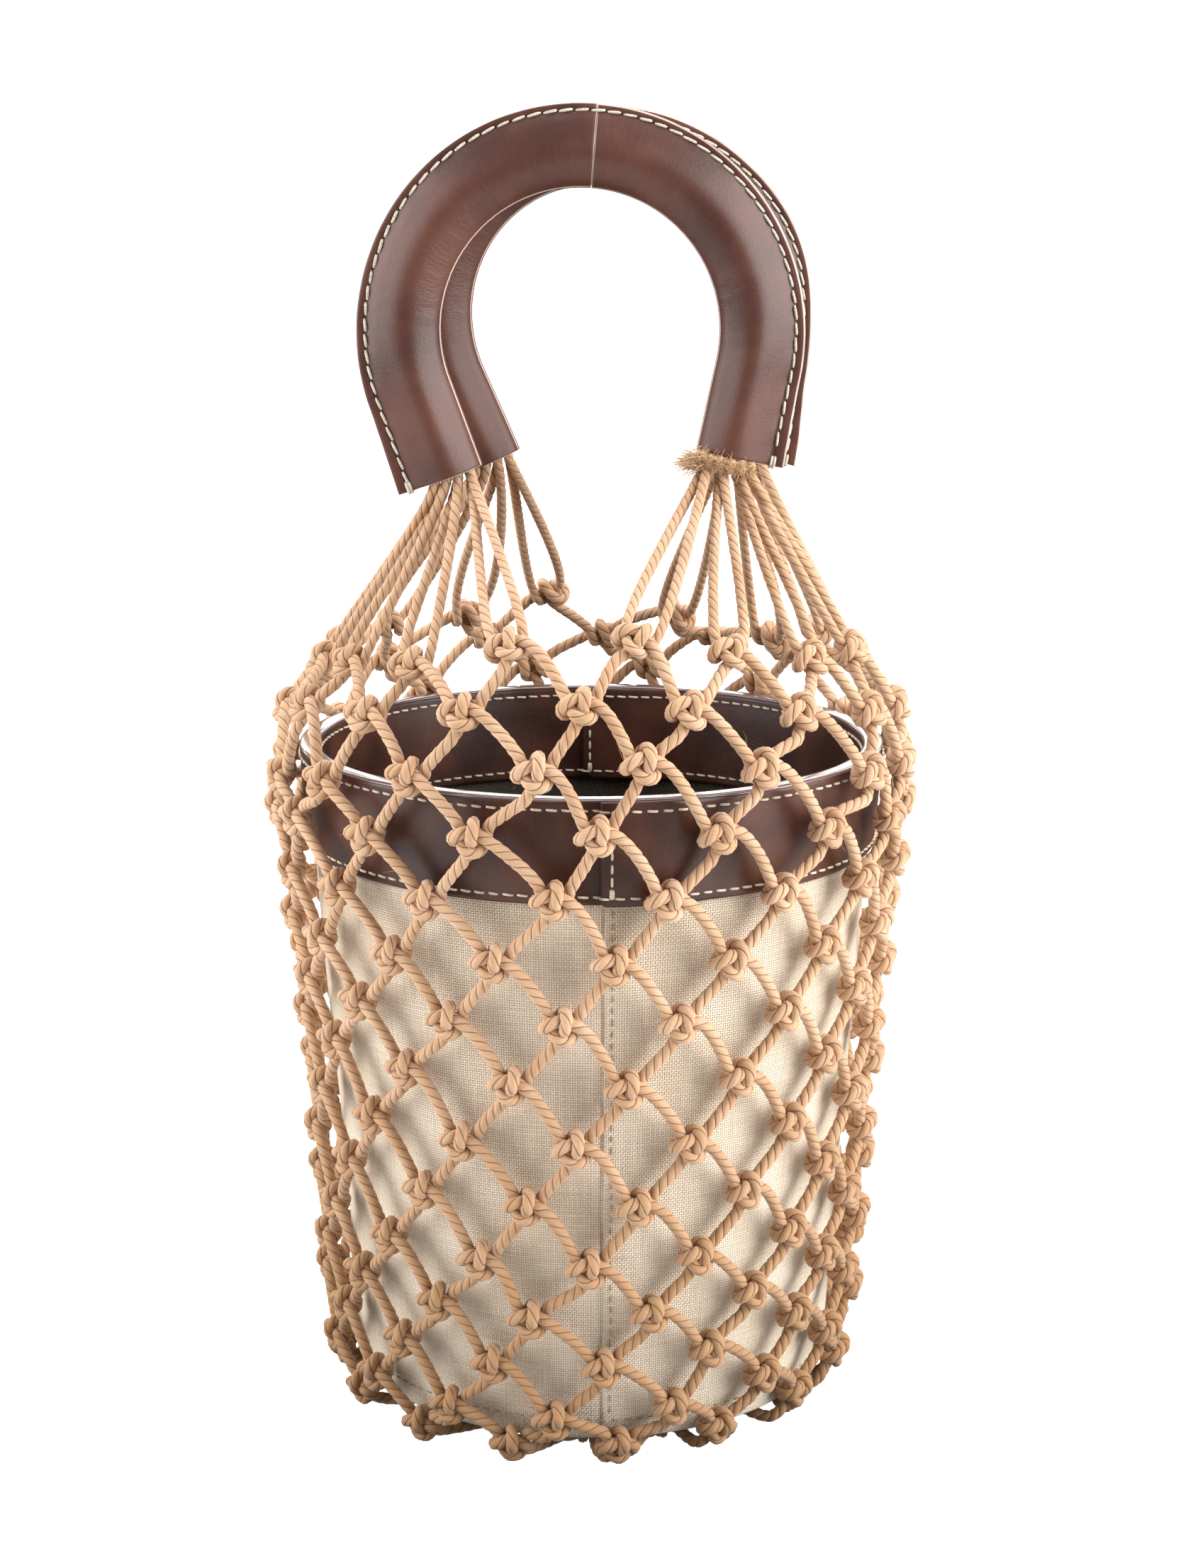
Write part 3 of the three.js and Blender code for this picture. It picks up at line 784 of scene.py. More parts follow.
archRadius = 55.75
handles = [
    {
        "name": "front",
        "place": (-3.5, -26, 369.5),  # centre of the arch
        "leftLean": 20,
        "rightLean": 12,
        "leg": 30,
        "joint": 4.5,  # degrees right of the top
        "sway": [],  # place along it, reach, shift inward
    },
    {
        "name": "back",
        "place": (5.2, 26, 371),
        "leftLean": 23,
        "rightLean": 17,
        "leg": 30,
        "joint": 4.5,
        "sway": [(80, 50, -1.2), (140, 24, 1.0), (180, 34, 2.0), (232, 20, 2.4), (278, 22, -3.2)],
    },
]
handleEnds = [(handle, side) for handle in handles for side in ("left", "right")]


def handleLength(handle):
    return 2 * handle["leg"] + archRadius * math.radians(180 + handle["leftLean"] + handle["rightLean"])


def handleJoint(handle):
    return handle["leg"] + archRadius * math.radians(90 + handle["leftLean"] + handle["joint"])


# Middle line of a handle: points, directions along it, directions towards the arch's centre.
def handleLine(handle, along):
    along = np.asarray(along, float)
    arch = np.clip(along - handle["leg"], 0, handleLength(handle) - 2 * handle["leg"])
    straight = along - handle["leg"] - arch
    angle = math.pi + math.radians(handle["leftLean"]) - arch / archRadius
    zero = np.zeros_like(angle)
    tangent = np.stack([np.sin(angle), zero, -np.cos(angle)], axis=-1)
    inward = np.stack([-np.cos(angle), zero, -np.sin(angle)], axis=-1)
    sway = sum((shift * np.exp(-((along - at) / reach) ** 2) for at, reach, shift in handle["sway"]), zero)
    points = handle["place"] + (sway - archRadius)[..., None] * inward + straight[..., None] * tangent
    return points, tangent, inward


def mouthOf(handle, side):
    left = side == "left"
    point, tangent, inward = handleLine(handle, 0.0 if left else handleLength(handle))
    return point, -tangent if left else tangent, inward


# Handle and side that the cords of a first row knot lead to.
def homeOf(degrees):
    turn = (degrees + 180) % 360 - 180
    handle = handles[0] if abs(turn) < 90 else handles[1]
    return handle, "right" if turn > 0 else "left"


def knotFrames():
    frames = {}
    lastRow = net["lastRow"] + 1
    centres = {row: shellPoint(row, knotDegrees(row)) for row in range(1, lastRow)}
    centres[lastRow] = polar(knotDegrees(lastRow), under["knotRadius"], under["knotHeight"])
    for row, column, _, height in net["moved"]:
        centres[row][column, 2] += height
    for row in range(1, lastRow + 1):
        degrees = knotDegrees(row)
        left, right = neighbours(row)
        here = centres[row]
        if row == 1:
            mouths = np.array([mouthOf(*homeOf(d))[0] for d in degrees])
            above = here + net["lead"] * unit(mouths - here)
        else:
            above = (centres[row - 1][left] + centres[row - 1][right]) / 2
        if row < net["lastRow"]:
            below = (centres[row + 1][left] + centres[row + 1][right]) / 2
        elif row == net["lastRow"]:
            below = polar(degrees, under["turnRadius"], under["turnHeight"])
        else:
            above = polar(degrees, under["turnRadius"], under["knotHeight"])
            below = polar(degrees, under["ringReach"], under["knotHeight"])
        across = polar(degrees + 90, 1.0, 0.0)
        up = unit(above - below)
        out = unit(np.cross(across, up))
        across = np.cross(up, out)
        tilt = np.radians(draw.uniform(-1, 1, net["columns"]) * net["knotTurn"])[:, None]
        size = net["knotUnit"] * (1 + draw.uniform(-1, 1, net["columns"]) * net["knotSize"])
        shift = draw.uniform(-1, 1, (net["columns"], 2)) * net["knotShift"]
        middle = here + shift[:, :1] * across + shift[:, 1:] * up
        turned = np.cos(tilt) * across + np.sin(tilt) * up
        raised = np.cos(tilt) * up - np.sin(tilt) * across
        flat = under["flat"] if row == lastRow else 1.0
        frames[row] = (middle, np.stack([turned, raised, out * flat], axis=1) * size[:, None, None])
    return frames


frames = knotFrames()


def placedKnot(shape, row, column):
    middle, axes = frames[row]
    return middle[column] + shape @ axes[column]


# A strand from the end of one stretch of cord to the start of the next.
def strand(before, after, ease):
    start, end = before[-1], after[0]
    reach = np.linalg.norm(end - start)
    leave = unit(before[-1] - before[-3]) * reach * ease[0]
    arrive = unit(after[2] - after[0]) * reach * ease[1]
    t = np.linspace(0, 1, max(4, int(reach)))[1:-1, None]
    return ((2 * t ** 3 - 3 * t ** 2 + 1) * start + (t ** 3 - 2 * t ** 2 + t) * leave
            + (3 * t ** 2 - 2 * t ** 3) * end + (t ** 3 - t ** 2) * arrive)


def strandBelow(before, after, degrees):
    turn = polar(degrees, under["turnRadius"], under["turnHeight"])
    count = under["perSpan"]
    return smoothPath([before[-3], before[-1], turn, after[0], after[2]], count)[count:-count - 1]


def rowPath(row):
    right = neighbours(row)[1]
    stretches = []
    for column in range(net["columns"]):
        stretches.append(placedKnot(knotTurn, row, column))
        stretches.append(placedKnot(knotBight, row + 1, right[column]))
    path = []
    for i, stretch in enumerate(stretches):
        following = stretches[(i + 1) % len(stretches)]
        path.append(stretch)
        if row < net["lastRow"]:
            path.append(strand(stretch, following, net["ease"][i % 2]))
        else:
            degrees = knotDegrees(row)[(i + 1) // 2 % net["columns"]]
            degrees += under["turnDegrees"] if i % 2 == 0 else -under["turnDegrees"]
            path.append(strandBelow(stretch, following, degrees))
    return np.vstack(path)


cordPaths = []
for name, (first, last) in net["bands"].items():
    paths = [rowPath(row) for row in range(first, last + 1)]
    cordPaths += paths
    makePiece(name, [ropePart(path, True) for path in paths], [cordMaterial], ["net_body"])


# Below the bucket the last knots' strands run into a flat ring of coiled cord.
def underPaths():
    row = net["lastRow"] + 1
    spread = np.array([-1, 1]) * under["ringDegrees"]
    count = under["ringPerSpan"]
    paths = []
    for column, degrees in enumerate(knotDegrees(row)):
        turn = placedKnot(knotTurn, row, column)
        ends = polar(degrees + spread, under["ringReach"], under["ringHeight"])
        start = smoothPath([ends[0], turn[0], turn[2]], count)[:count]
        end = smoothPath([turn[-3], turn[-1], ends[1]], count)[count + 1:]
        paths.append(np.vstack([start, turn, end]))
    return paths


underParts = [ropePart(path, step=under["step"]) for path in underPaths()]
for radius, height in under["coils"]:
    circle = polar(np.arange(0, 360, 3.0), radius, height)
    underParts.append(ropePart(circle, True, step=under["step"]))
makePiece("net_under", underParts, [cordMaterial], ["net_base"])


# Cords from the first row of knots up into the handles.
fan = {
    "slots": [5.9, 2.0, -2.0, -5.9],  # places across a mouth, the knots next to the handle's middle first
    "layer": 2.0,
    "diameter": 3.4,
    "inside": 26.0,  # length that runs up inside the sleeve
    "mouthEase": 0.22,
    "knotEase": {"front": [0.3, 0.3, 0.3, 0.3], "back": [0.36, 0.66, 0.6, 0.5]},  # the back cords hang slack
}


def insideCord(handle, side, across, layer):
    stations = np.arange(0, fan["inside"], 1.0)
    along = stations if side == "left" else handleLength(handle) - stations
    points, _, inward = handleLine(handle, along)
    return points + across * inward + np.array([0, layer, 0])


def fanPaths(handle, side):
    degrees = knotDegrees(1)
    middle, outward = (0, -1) if handle["name"] == "front" else (180, 1)
    columns = [c for c, d in enumerate(degrees) if homeOf(d) == (handle, side)]
    columns.sort(key=lambda c: abs((degrees[c] - middle + 180) % 360 - 180))
    layer = outward * fan["layer"]
    paths = []
    for column, across, knotEase in zip(columns, fan["slots"], fan["knotEase"][handle["name"]]):
        ease = (fan["mouthEase"], knotEase)
        bight = placedKnot(knotBight, 1, column)
        leftEnd = insideCord(handle, side, across, -layer)[::-1]
        rightEnd = insideCord(handle, side, across, layer)
        leftLeg = strand(leftEnd, bight, ease)
        rightLeg = strand(bight, rightEnd, ease[::-1])
        paths.append(np.vstack([leftEnd, leftLeg, bight, rightLeg, rightEnd]))
    return paths


for handle, side in handleEnds:
    paths = fanPaths(handle, side)
    cordPaths += paths
    name = f"cords_{handle['name']}_{side}"
    ropes = [ropePart(path, diameter=fan["diameter"]) for path in paths]
    makePiece(f"fan_{handle['name']}_{side}", ropes, [cordMaterial], [name])
print("net and cords built")


# The linen bucket.
bucket = {
    "height": 221.5,
    "baseRadius": 82.5,
    "topRadius": 97.6,
    "wall": 2.0,
    "edge": 2.5,  # rounding of the foot, where the wall is turned in
    "disc": 2.5,
    "discGap": 0.6,
    "seam": 2.5,  # degrees from the front, the fold of the wall's upper end
    "seamStep": 0.75,
    "seamRise": 0.12,  # degrees in which the fold reaches its full step
    "seamFade": (6.0, 11.0),  # degrees past the fold where the lap runs out
    "seamGroove": 0.35,  # depth beside the fold, and its half width in degrees
    "seamStations": [-1.6, -1.0, -0.7, -0.35, -0.12, 0.0, 0.06, 0.12, 0.4, 0.8],
    "seamRoom": 1.9,  # degrees beside the fold that the even stations leave free
    "step": 1.5,
    "levels": 46,
    "insideLevels": 22,
    "lipRound": 0.4,  # rounding of the upper edge
    "dent": 0.7,
    "dents": [  # waves round the bucket, phase, height of one turn, size
        (3, 0.4, 41, 0.4), (5, 2.1, -29, 0.28), (8, 1.2, 23, 0.2), (13, 4.0, -17, 0.12),
    ],
    "held": 0.75,  # share of the relief that the rim band presses flat
    "heldFrom": 8,  # below the band's foot, and above it
    "heldTo": 4,
    "footFade": 14,  # the dents begin above the foot
}
rim = {
    "height": 34.0,
    "leather": 1.8,
    "seat": 0.45,
    "liningRoom": 0.3,  # between the wall's inside and the facing
    "overlap": 9.0,  # degrees that a strip's end laps over its start
    "ramp": 5.0,
    "section": [  # depth and height across a strip: rounded edges, grooves at the stitches
        (0.0, 0.5), (0.3, 0.05), (1.1, 0.0), (1.65, 0.35), (1.8, 1.2), (1.68, 2.8), (1.85, 4.5), (1.95, 11.0),
        (2.0, 17.0), (1.95, 23.0), (1.85, 29.3), (1.68, 31.0), (1.8, 32.6), (1.65, 33.6), (1.1, 34.0),
        (0.2, 34.0), (0.0, 33.6),
    ],
    "sectionTop": 14,  # the section's point at the top of its face
    "face": 1.6,  # points deeper than this are on the face
    "waves": [(0.12, 7, 1.3), (0.08, 17, 0.0)],  # size, waves round the rim, phase
    "ends": [0.0, 0.25, 0.6, 1.2, 2.0, 3.0, 4.5],  # closer stations next to a strip's ends
    "endThin": 0.82,  # thickness at the very ends
    "endReach": 0.6,
    "step": 1.5,  # degrees
}
bucketTop = floorRoom + bucket["height"]
bandFoot = bucketTop - rim["height"]
rimDegree = math.radians(1) * bucket["topRadius"]  # length of one degree at the rim


def wallRadius(z):
    return np.interp(z, [floorRoom, bucketTop], [bucket["baseRadius"], bucket["topRadius"]])


# How far the linen stands out from the plain cone: soft dents, and the lapped seam at the front.
def linenRelief(degrees, z):
    angle = np.radians(degrees)
    clear = 1 - bucket["held"] * smoothstep(z, bandFoot - bucket["heldFrom"], bandFoot + bucket["heldTo"])
    foot = smoothstep(z, floorRoom, floorRoom + bucket["footFade"])
    dents = 0.0
    for waves, phase, turn, size in bucket["dents"]:
        dents = dents + np.sin(waves * angle + phase + z / turn) * size
    past = (degrees - bucket["seam"]) % 360
    risen = np.clip(past / bucket["seamRise"], 0, 1)
    lap = risen * (1 - smoothstep(past, *bucket["seamFade"])) * bucket["seamStep"]
    width = bucket["seamGroove"]
    fromGroove = (degrees - bucket["seam"] + width + 180) % 360 - 180
    groove = -width * np.exp(-(fromGroove / width) ** 2)
    return clear * (dents * bucket["dent"] * foot + lap + groove)


def buildLinen():
    even = np.arange(0, 360, bucket["step"])
    seam = bucket["seam"] + np.array(bucket["seamStations"])
    even = even[np.abs(even - bucket["seam"]) > bucket["seamRoom"]]
    degrees = np.unique(np.concatenate([even, seam % 360]))
    turn = np.radians(np.linspace(0, 90, 6))
    edge = bucket["edge"]
    lip = bucket["lipRound"]
    footRadius = wallRadius(floorRoom)
    hemRadius = footRadius - bucket["wall"] - edge
    outer = [(footRadius - edge * (1 - math.sin(t)), floorRoom + edge * (1 - math.cos(t))) for t in turn]
    low, high = floorRoom + edge, bucketTop - lip
    outer += [(wallRadius(z), z) for z in np.linspace(low, high, bucket["levels"])[1:]]
    crown = [(wallRadius(bucketTop) - inset, bucketTop) for inset in (lip, bucket["wall"] - lip)]
    inside = [(wallRadius(z) - bucket["wall"], z) for z in np.linspace(high, low, bucket["insideLevels"])]
    hem = [(hemRadius, floorRoom + 1.0)]
    profile = np.array([(hemRadius, floorRoom)] + outer + crown + inside + hem)
    shown = len(outer) + 1
    face = np.zeros(len(profile))
    face[1:shown] = 1
    relief = linenRelief(degrees[None], profile[:, 1:]) * face[:, None]
    grid = polar(degrees[None], profile[:, :1] + relief, profile[:, 1:])
    run = runAlong(profile)
    run = np.append(run, run[-1] + 1)
    arc = np.radians(np.append(degrees, 360 + degrees[0])) * bucket["topRadius"]
    part = gridPart(grid, sheetPlaces(arc * mm, run * mm), wrapColumns=True, wrapRows=True)
    rows = np.repeat(np.arange(len(profile)), len(degrees))
    inner = (rows >= shown).astype(int)
    wall = makePiece("linen_wall", [part], [linenMaterial, darkLinenMaterial], ["bucket_wall"], inner)


def buildBase():
    radius = bucket["baseRadius"] - bucket["wall"] - bucket["edge"] - bucket["discGap"]
    low, high = floorRoom, floorRoom + bucket["disc"]
    rings = np.linspace(2.0, radius - 0.4, 18)
    rounded = [(radius, low + 0.5), (radius, high - 0.5)]
    profile = np.array([(r, low) for r in rings] + rounded + [(r, high) for r in rings[::-1]])
    degrees = np.arange(0, 360, 4.0)
    grid = polar(degrees[None], profile[:, :1], profile[:, 1:])
    wrapped = np.concatenate([grid, grid[:, :1]], axis=1)
    part = gridPart(grid, wrapped[..., :2] * mm, wrapColumns=True)
    closeEnds(part, *grid.shape[:2])
    base = makePiece("linen_base", [part], [darkLinenMaterial], ["bucket_base"])
    math.pi * (radius * mm) ** 2


buildLinen()
buildBase()


# Leather strips round the rim. Each starts under its own end and climbs on top of its start.
strips = {
    # degrees of the free end, way round, out or in, rounding of the end, its stitches' distance from it
    "rim_band": {"seam": 1.7, "turn": 1, "side": 1, "corner": 2.0, "lapOffset": 3.4},
    "rim_facing": {"seam": 182.0, "turn": -1, "side": -1, "corner": 4.5, "lapOffset": 2.7},
}


# Point of a strip at a place along it in degrees, at a depth from its back and a height above its lower edge.
def stripPoint(strip, along, depth, height):
    climb = smoothstep(along, 360 - rim["ramp"] - rim["overlap"], 360 - rim["ramp"] / 2)
    lift = rim["seat"] + climb * (rim["leather"] + rim["seat"])
    z = bandFoot + height
    slack = 0.0 if strip["side"] > 0 else -bucket["wall"] - rim["liningRoom"]
    radius = wallRadius(z) + slack + strip["side"] * (lift + depth)
    return polar(strip["seam"] + strip["turn"] * (rim["overlap"] - along), radius, z)


bead = {
    "inset": 0.1,
    "rise": 0.1,
    "crown": 0.55,
    "depth": 0.25,
    "step": 2.0,  # degrees
    "sheetStep": (0.8, 3.4),
}


# The burnished top edge, one bead over both strips and the linen between them.
def paintedEdge():
    radius = wallRadius(bucketTop)
    strip = rim["seat"] + rim["leather"] - bead["inset"]
    outer = radius + strip
    inner = radius - bucket["wall"] - rim["liningRoom"] - strip
    share = np.linspace(0, 1, 9)
    dome = bucketTop + bead["rise"] + bead["crown"] * np.sqrt(1 - (2 * share - 1) ** 2)
    profile = np.stack([outer + (inner - outer) * share, dome], axis=1)
    below = bucketTop - bead["depth"]
    profile = np.vstack([profile, [(inner, below), (outer, below)]])
    grid = polar(np.arange(0, 360, bead["step"])[None], profile[:, :1], profile[:, 1:])
    across, along = [np.arange(count + 1) * step * mm for count, step in zip(grid.shape, bead["sheetStep"])]
    return gridPart(grid, sheetPlaces(along, across)[..., ::-1], wrapColumns=True, wrapRows=True)


def buildStrip(name, strip):
    whole = 360 + rim["overlap"]
    ends = np.array(rim["ends"]) / rimDegree
    middle = np.arange(ends[-1] + 1, whole - ends[-1] - 1, rim["step"])
    along = np.concatenate([ends, middle, whole - ends[::-1]])
    depth, height = np.array(rim["section"]).T
    corner = strip["corner"]
    fromEnd = (whole - along) * rimDegree
    curve = corner - np.sqrt(np.clip(corner ** 2 - (corner - fromEnd) ** 2, 0, None))
    lift = np.where(fromEnd < corner, curve, 0)[:, None]
    nearest = np.minimum(fromEnd, along * rimDegree)
    swell = rim["endThin"] + (1 - rim["endThin"]) * smoothstep(nearest, 0, rim["endReach"])
    wave = sum(size * np.sin(np.radians(along) * waves + phase) for size, waves, phase in rim["waves"])
    bulge = wave[:, None] * np.sin(np.pi * height / rim["height"]) * (depth > rim["face"])
    heights = lift + height * (1 - lift / rim["height"])
    grid = stripPoint(strip, along[:, None], depth * swell[:, None] + bulge, heights)
    run = runAlong(np.array(rim["section"] + rim["section"][:1]))
    sheet = sheetPlaces((run - run[rim["sectionTop"]]) * mm, along * rimDegree * mm)
    part = gridPart(grid, sheet, wrapColumns=True)
    closeEnds(part, *grid.shape[:2])
    parts = [part] + ([paintedEdge()] if name == "rim_band" else [])
    painted = np.repeat([0, 1][:len(parts)], [sum(len(face) for face in made["faces"]) for made in parts])
    makePiece(name + "_leather", parts, [rimMaterial, edgeMaterial], [name], painted)


for name, strip in strips.items():
    buildStrip(name, strip)
print("bucket and rim built")


# Padded handle sleeves: an oval tube, folded on the arch's inner side, with a sewn flange on its outer side.
sleeve = {
    "half": [  # towards the arch's centre, depth: from the fold round the front to the flange's edge
        (10.75, 0.0), (10.55, 0.9), (9.9, 2.3), (8.6, 3.8), (6.4, 5.35), (3.6, 6.9), (1.2, 7.85), (-0.8, 8.1),
        (-2.8, 7.8), (-5.4, 6.75), (-8.2, 5.2), (-10.6, 3.75), (-12.4, 2.45), (-13.1, 1.95), (-13.8, 1.62),
        (-14.7, 1.75), (-15.6, 1.65), (-16.2, 1.35), (-16.4, 0.9), (-16.4, 0.2), (-16.2, 0.0),
    ],
    "perSpan": 3,
    "flare": [(0.0, 2.1), (25.0, 1.1), (60.0, 0.2), (130.0, -0.6)],  # from the mouth, widening of the flange
    "flareFrom": -13.0,
    "flareReach": 2.6,
    "creases": [(1.75, 0.3), (1.21, 2.0), (0.83, 4.4)],  # pace and phase along the bend
    "creaseDepth": 0.16,
    "creaseStart": (24, 30),  # from the mouth, and from there to full depth
    "creaseEnd": (4, 40),  # the same from the joint
    "creasePlace": (7.0, 4.5),  # middle and reach, on the inner side of the bend
    "waves": [(0.16, 0.6, 0.8), (0.12, 0.23, 0.0)],  # of the flange: size, pace, phase
    "waveFrom": -10.5,
    "waveReach": 4.0,
    "bulge": 0.35,  # of the padding next to the mouth
    "bulgeReach": 46.0,
    "bulgeWidth": 2.6,
    "halfDepth": 8.0,
    "jointGap": 0.16,
    "chamfer": 0.18,
    "endRoom": 1.2,  # from an end to the first even station
    "endSize": 0.975,
    "step": 1.7,
    "bore": (8.95, 6.65),  # half width and half depth of the open mouth
    "boreDepths": [0.0, 0.3, 4.0, 12.0, 22.0, 34.0],
    "cutEdge": {"left": -16.3, "right": -16.0},  # beyond this the flange shows its cut edge
}
front = np.array([0.0, -1.0, 0.0])


# Widening of the flange at a place across the section.
def flareAt(fromMouth, across):
    stations, widths = np.array(sleeve["flare"]).T
    share = np.clip((sleeve["flareFrom"] - across) / sleeve["flareReach"], 0, 1)
    return np.interp(fromMouth, stations, widths) * share


def sleeveRing(half):
    return np.array(half + [(u, -v) for u, v in half[-2:0:-1]])


def denseHalf(half, perSpan):
    flat = np.array([(u, v, 0.0) for u, v in half])
    return [(u, v) for u, v, _ in smoothPath(flat, perSpan)]


def boreHalf(count):
    width, depth = sleeve["bore"]
    return [(width * math.cos(a), depth * math.sin(a)) for a in np.linspace(0, math.pi, count)]


def sleeveGrid(handle, along, rings):
    points, _, inward = handleLine(handle, along)
    return points[:, None] + rings[..., :1] * inward[:, None] + rings[..., 1:] * front


# The section at every station: fine creases in the bend, a wavy and flared flange, padding that bulges.
def sleeveRings(ring, fromMouth, length):
    across = ring[None, :, 0]
    rings = np.repeat(ring[None], len(fromMouth), axis=0)
    rings[[0, -1]] *= sleeve["endSize"]
    fromEnds = zip((fromMouth, length - fromMouth), (sleeve["creaseStart"], sleeve["creaseEnd"]))
    bent = math.prod(np.clip((run - start) / reach, 0, 1) for run, (start, reach) in fromEnds)
    crease = np.mean([np.sin(fromMouth * pace + phase) for pace, phase in sleeve["creases"]], axis=0)
    middle, reach = sleeve["creasePlace"]
    inset = sleeve["creaseDepth"] * (bent * crease)[:, None] * np.exp(-((across - middle) / reach) ** 2)
    rings[..., 1] *= 1 - inset / sleeve["halfDepth"]
    rings[..., 0] -= inset * 0.5
    wave = sum(size * np.sin(fromMouth * pace + phase) for size, pace, phase in sleeve["waves"])
    rings[..., 1] += wave[:, None] * np.clip((sleeve["waveFrom"] - across) / sleeve["waveReach"], 0, 1)
    rings[..., 0] -= flareAt(fromMouth[:, None], across)
    bulge = np.sin(np.clip(fromMouth / sleeve["bulgeReach"], 0, 1) * math.pi) * sleeve["bulge"]
    rings[..., 1] *= 1 + bulge[:, None] / sleeve["halfDepth"] * np.cos(across / sleeve["bulgeWidth"])
    return rings


def buildSleeve(handle, side):
    sign = 1 if side == "left" else -1
    start = 0.0 if side == "left" else handleLength(handle)
    length = abs(handleJoint(handle) - sign * sleeve["jointGap"] / 2 - start)
    middle = np.linspace(sleeve["endRoom"], length - sleeve["endRoom"], int(length / sleeve["step"]))
    chamfer = sleeve["chamfer"]
    fromMouth = np.concatenate([[0, chamfer], middle, [length - chamfer, length]])
    ring = sleeveRing(denseHalf(sleeve["half"], sleeve["perSpan"]))
    points = len(ring)
    run = runAlong(np.vstack([ring, ring[:1]]))
    way = slice(None, None, sign)  # the right half's sections go round the other way
    fromFold = np.minimum(run, run[-1] - run)[way]
    rings = sleeveRings(ring, fromMouth, length)[:, way]
    outer = sleeveGrid(handle, start + sign * fromMouth, rings)
    tube = gridPart(outer, sheetPlaces(fromFold * mm, fromMouth * mm), wrapColumns=True)
    capPart(tube, np.arange(points) + (len(fromMouth) - 1) * points, False)
    # the open mouth: cut edge, tube inside, and its floor
    depths = np.array(sleeve["boreDepths"])
    bore = sleeveRing(boreHalf((points + 2) // 2))[way]
    inner = sleeveGrid(handle, start + sign * depths, np.repeat(bore[None], len(depths), axis=0))[::-1]
    lip = np.concatenate([inner, outer[:1]])
    mouth = gridPart(lip, evenSheet(lip, 20 * mm), wrapColumns=True)
    capPart(mouth, np.arange(points), True)
    # cut leather shows at the flange's edge, at both ends and in the mouth
    place = rings[1, :, 0] + flareAt(fromMouth[1], ring[way, 0])
    cut = np.tile(np.minimum(place, np.roll(place, -1)) < sleeve["cutEdge"][side], len(fromMouth) - 1)
    cut[:points] = True
    cut[-points:] = True
    raw = np.concatenate([cut, np.ones(len(mouth["faces"][0]) + 2)])
    piece = makePiece(f"handle_{handle['name']}_{side}", [tube, mouth], [handleMaterial, rawMaterial],
                      [f"sleeve_{handle['name']}_{side}"], raw)


for handle, side in handleEnds:
    buildSleeve(handle, side)
print("handles built")


# Sewing thread.
thread = {
    "stations": [-1, -0.9, -0.5, 0, 0.5, 0.9, 1],  # along a stitch, whose ends dive into the leather
    "sides": 6,
    "uneven": 0.08,
    "rise": 0.3,
    "rimLength": 3.5,
    "rimCount": 129,
    "rimReach": (0.4, 359.3),  # degrees of the first and the last stitch from the lap
    "rimThickness": 0.85,
    "rimDepth": 1.7,
    "rimHeights": [2.8, 31.0],
    "rimSlant": 0.06,
    "lapLength": 3.3,
    "lapDepth": 1.88,
    "lapHeights": np.arange(8.4, 30, 4.25),
    "footLength": 3.6,  # two stitches side by side at the foot of a lap
    "footHeight": 4.3,
    "footDepth": 1.8,
    "footDegrees": 0.2,  # to either side of the row
    "footThicker": 1.15,
    "sleeveLength": 4.75,
    "sleevePitch": 5.15,
    "sleeveThickness": 0.95,
    "sleevePlace": -13.8,
    "sleeveDepth": 1.6,
    "sleeveRise": 0.25,
    "sleeveSlant": 0.1,
    "sleeveEnds": (4.5, 4.0),  # the first and last stitch's distance from the mouths
    "loopRun": [3.4, 2.6, 0.6, -0.35, -0.55, -0.35, 0.6, 2.6, 3.4],  # last stitches, round the flange's end
    "loopDepth": [1.0, 1.75, 1.95, 1.5, 0.0, -1.5, -1.95, -1.75, -1.0],
    "loopShifts": (-0.5, 0.5),
    "loopGirth": 0.55,
    "linenLength": 2.6,
    "linenPitch": 4.0,
    "linenThickness": 0.6,
    "linenPlace": 2.6,  # from the fold of the seam
    "linenRadius": 90,  # of the wall halfway up
    "linenEnds": (12, 3),  # the row's distance from the foot and from the rim band
    "linenCount": 130,  # stitches in the round row
    "linenFoot": 8.0,  # height of the round row above the bucket's underside
}


def stitchPart(middles, directions, normals, length, thickness, rise=thread["rise"]):
    share = np.array(thread["stations"])
    directions = unit(directions)
    normals = unit(normals - (normals * directions).sum(-1, keepdims=True) * directions)
    across = np.cross(directions, normals)
    spread = 1 + draw.uniform(-thread["uneven"], thread["uneven"], len(middles))
    run = share[None, :, None] * (length / 2 * spread)[:, None, None] * directions[:, None]
    lift = ((1 - share ** 8) * thickness * (0.5 + rise) - thickness * 0.5)[None, :, None] * normals[:, None]
    girth = thickness / 2 * (1 - 0.35 * share ** 6)
    ring = around(sideAngles(thread["sides"]), across[:, None], normals[:, None])
    points = (middles[:, None] + run + lift)[:, :, None] + girth[None, :, None, None] * ring[:, None]
    return tubesPart(points[:, :, ::-1])


# A plain thin tube along a path.
def tubePart(path, girth, sides=6):
    tangents, across, _ = sideFrames(path, False)
    backs = np.cross(tangents, across)
    grid = path[:, None] + girth * around(sideAngles(sides), across[:, None], backs[:, None])
    part = gridPart(grid, evenSheet(grid), wrapColumns=True)
    closeEnds(part, len(path), sides)
    return part


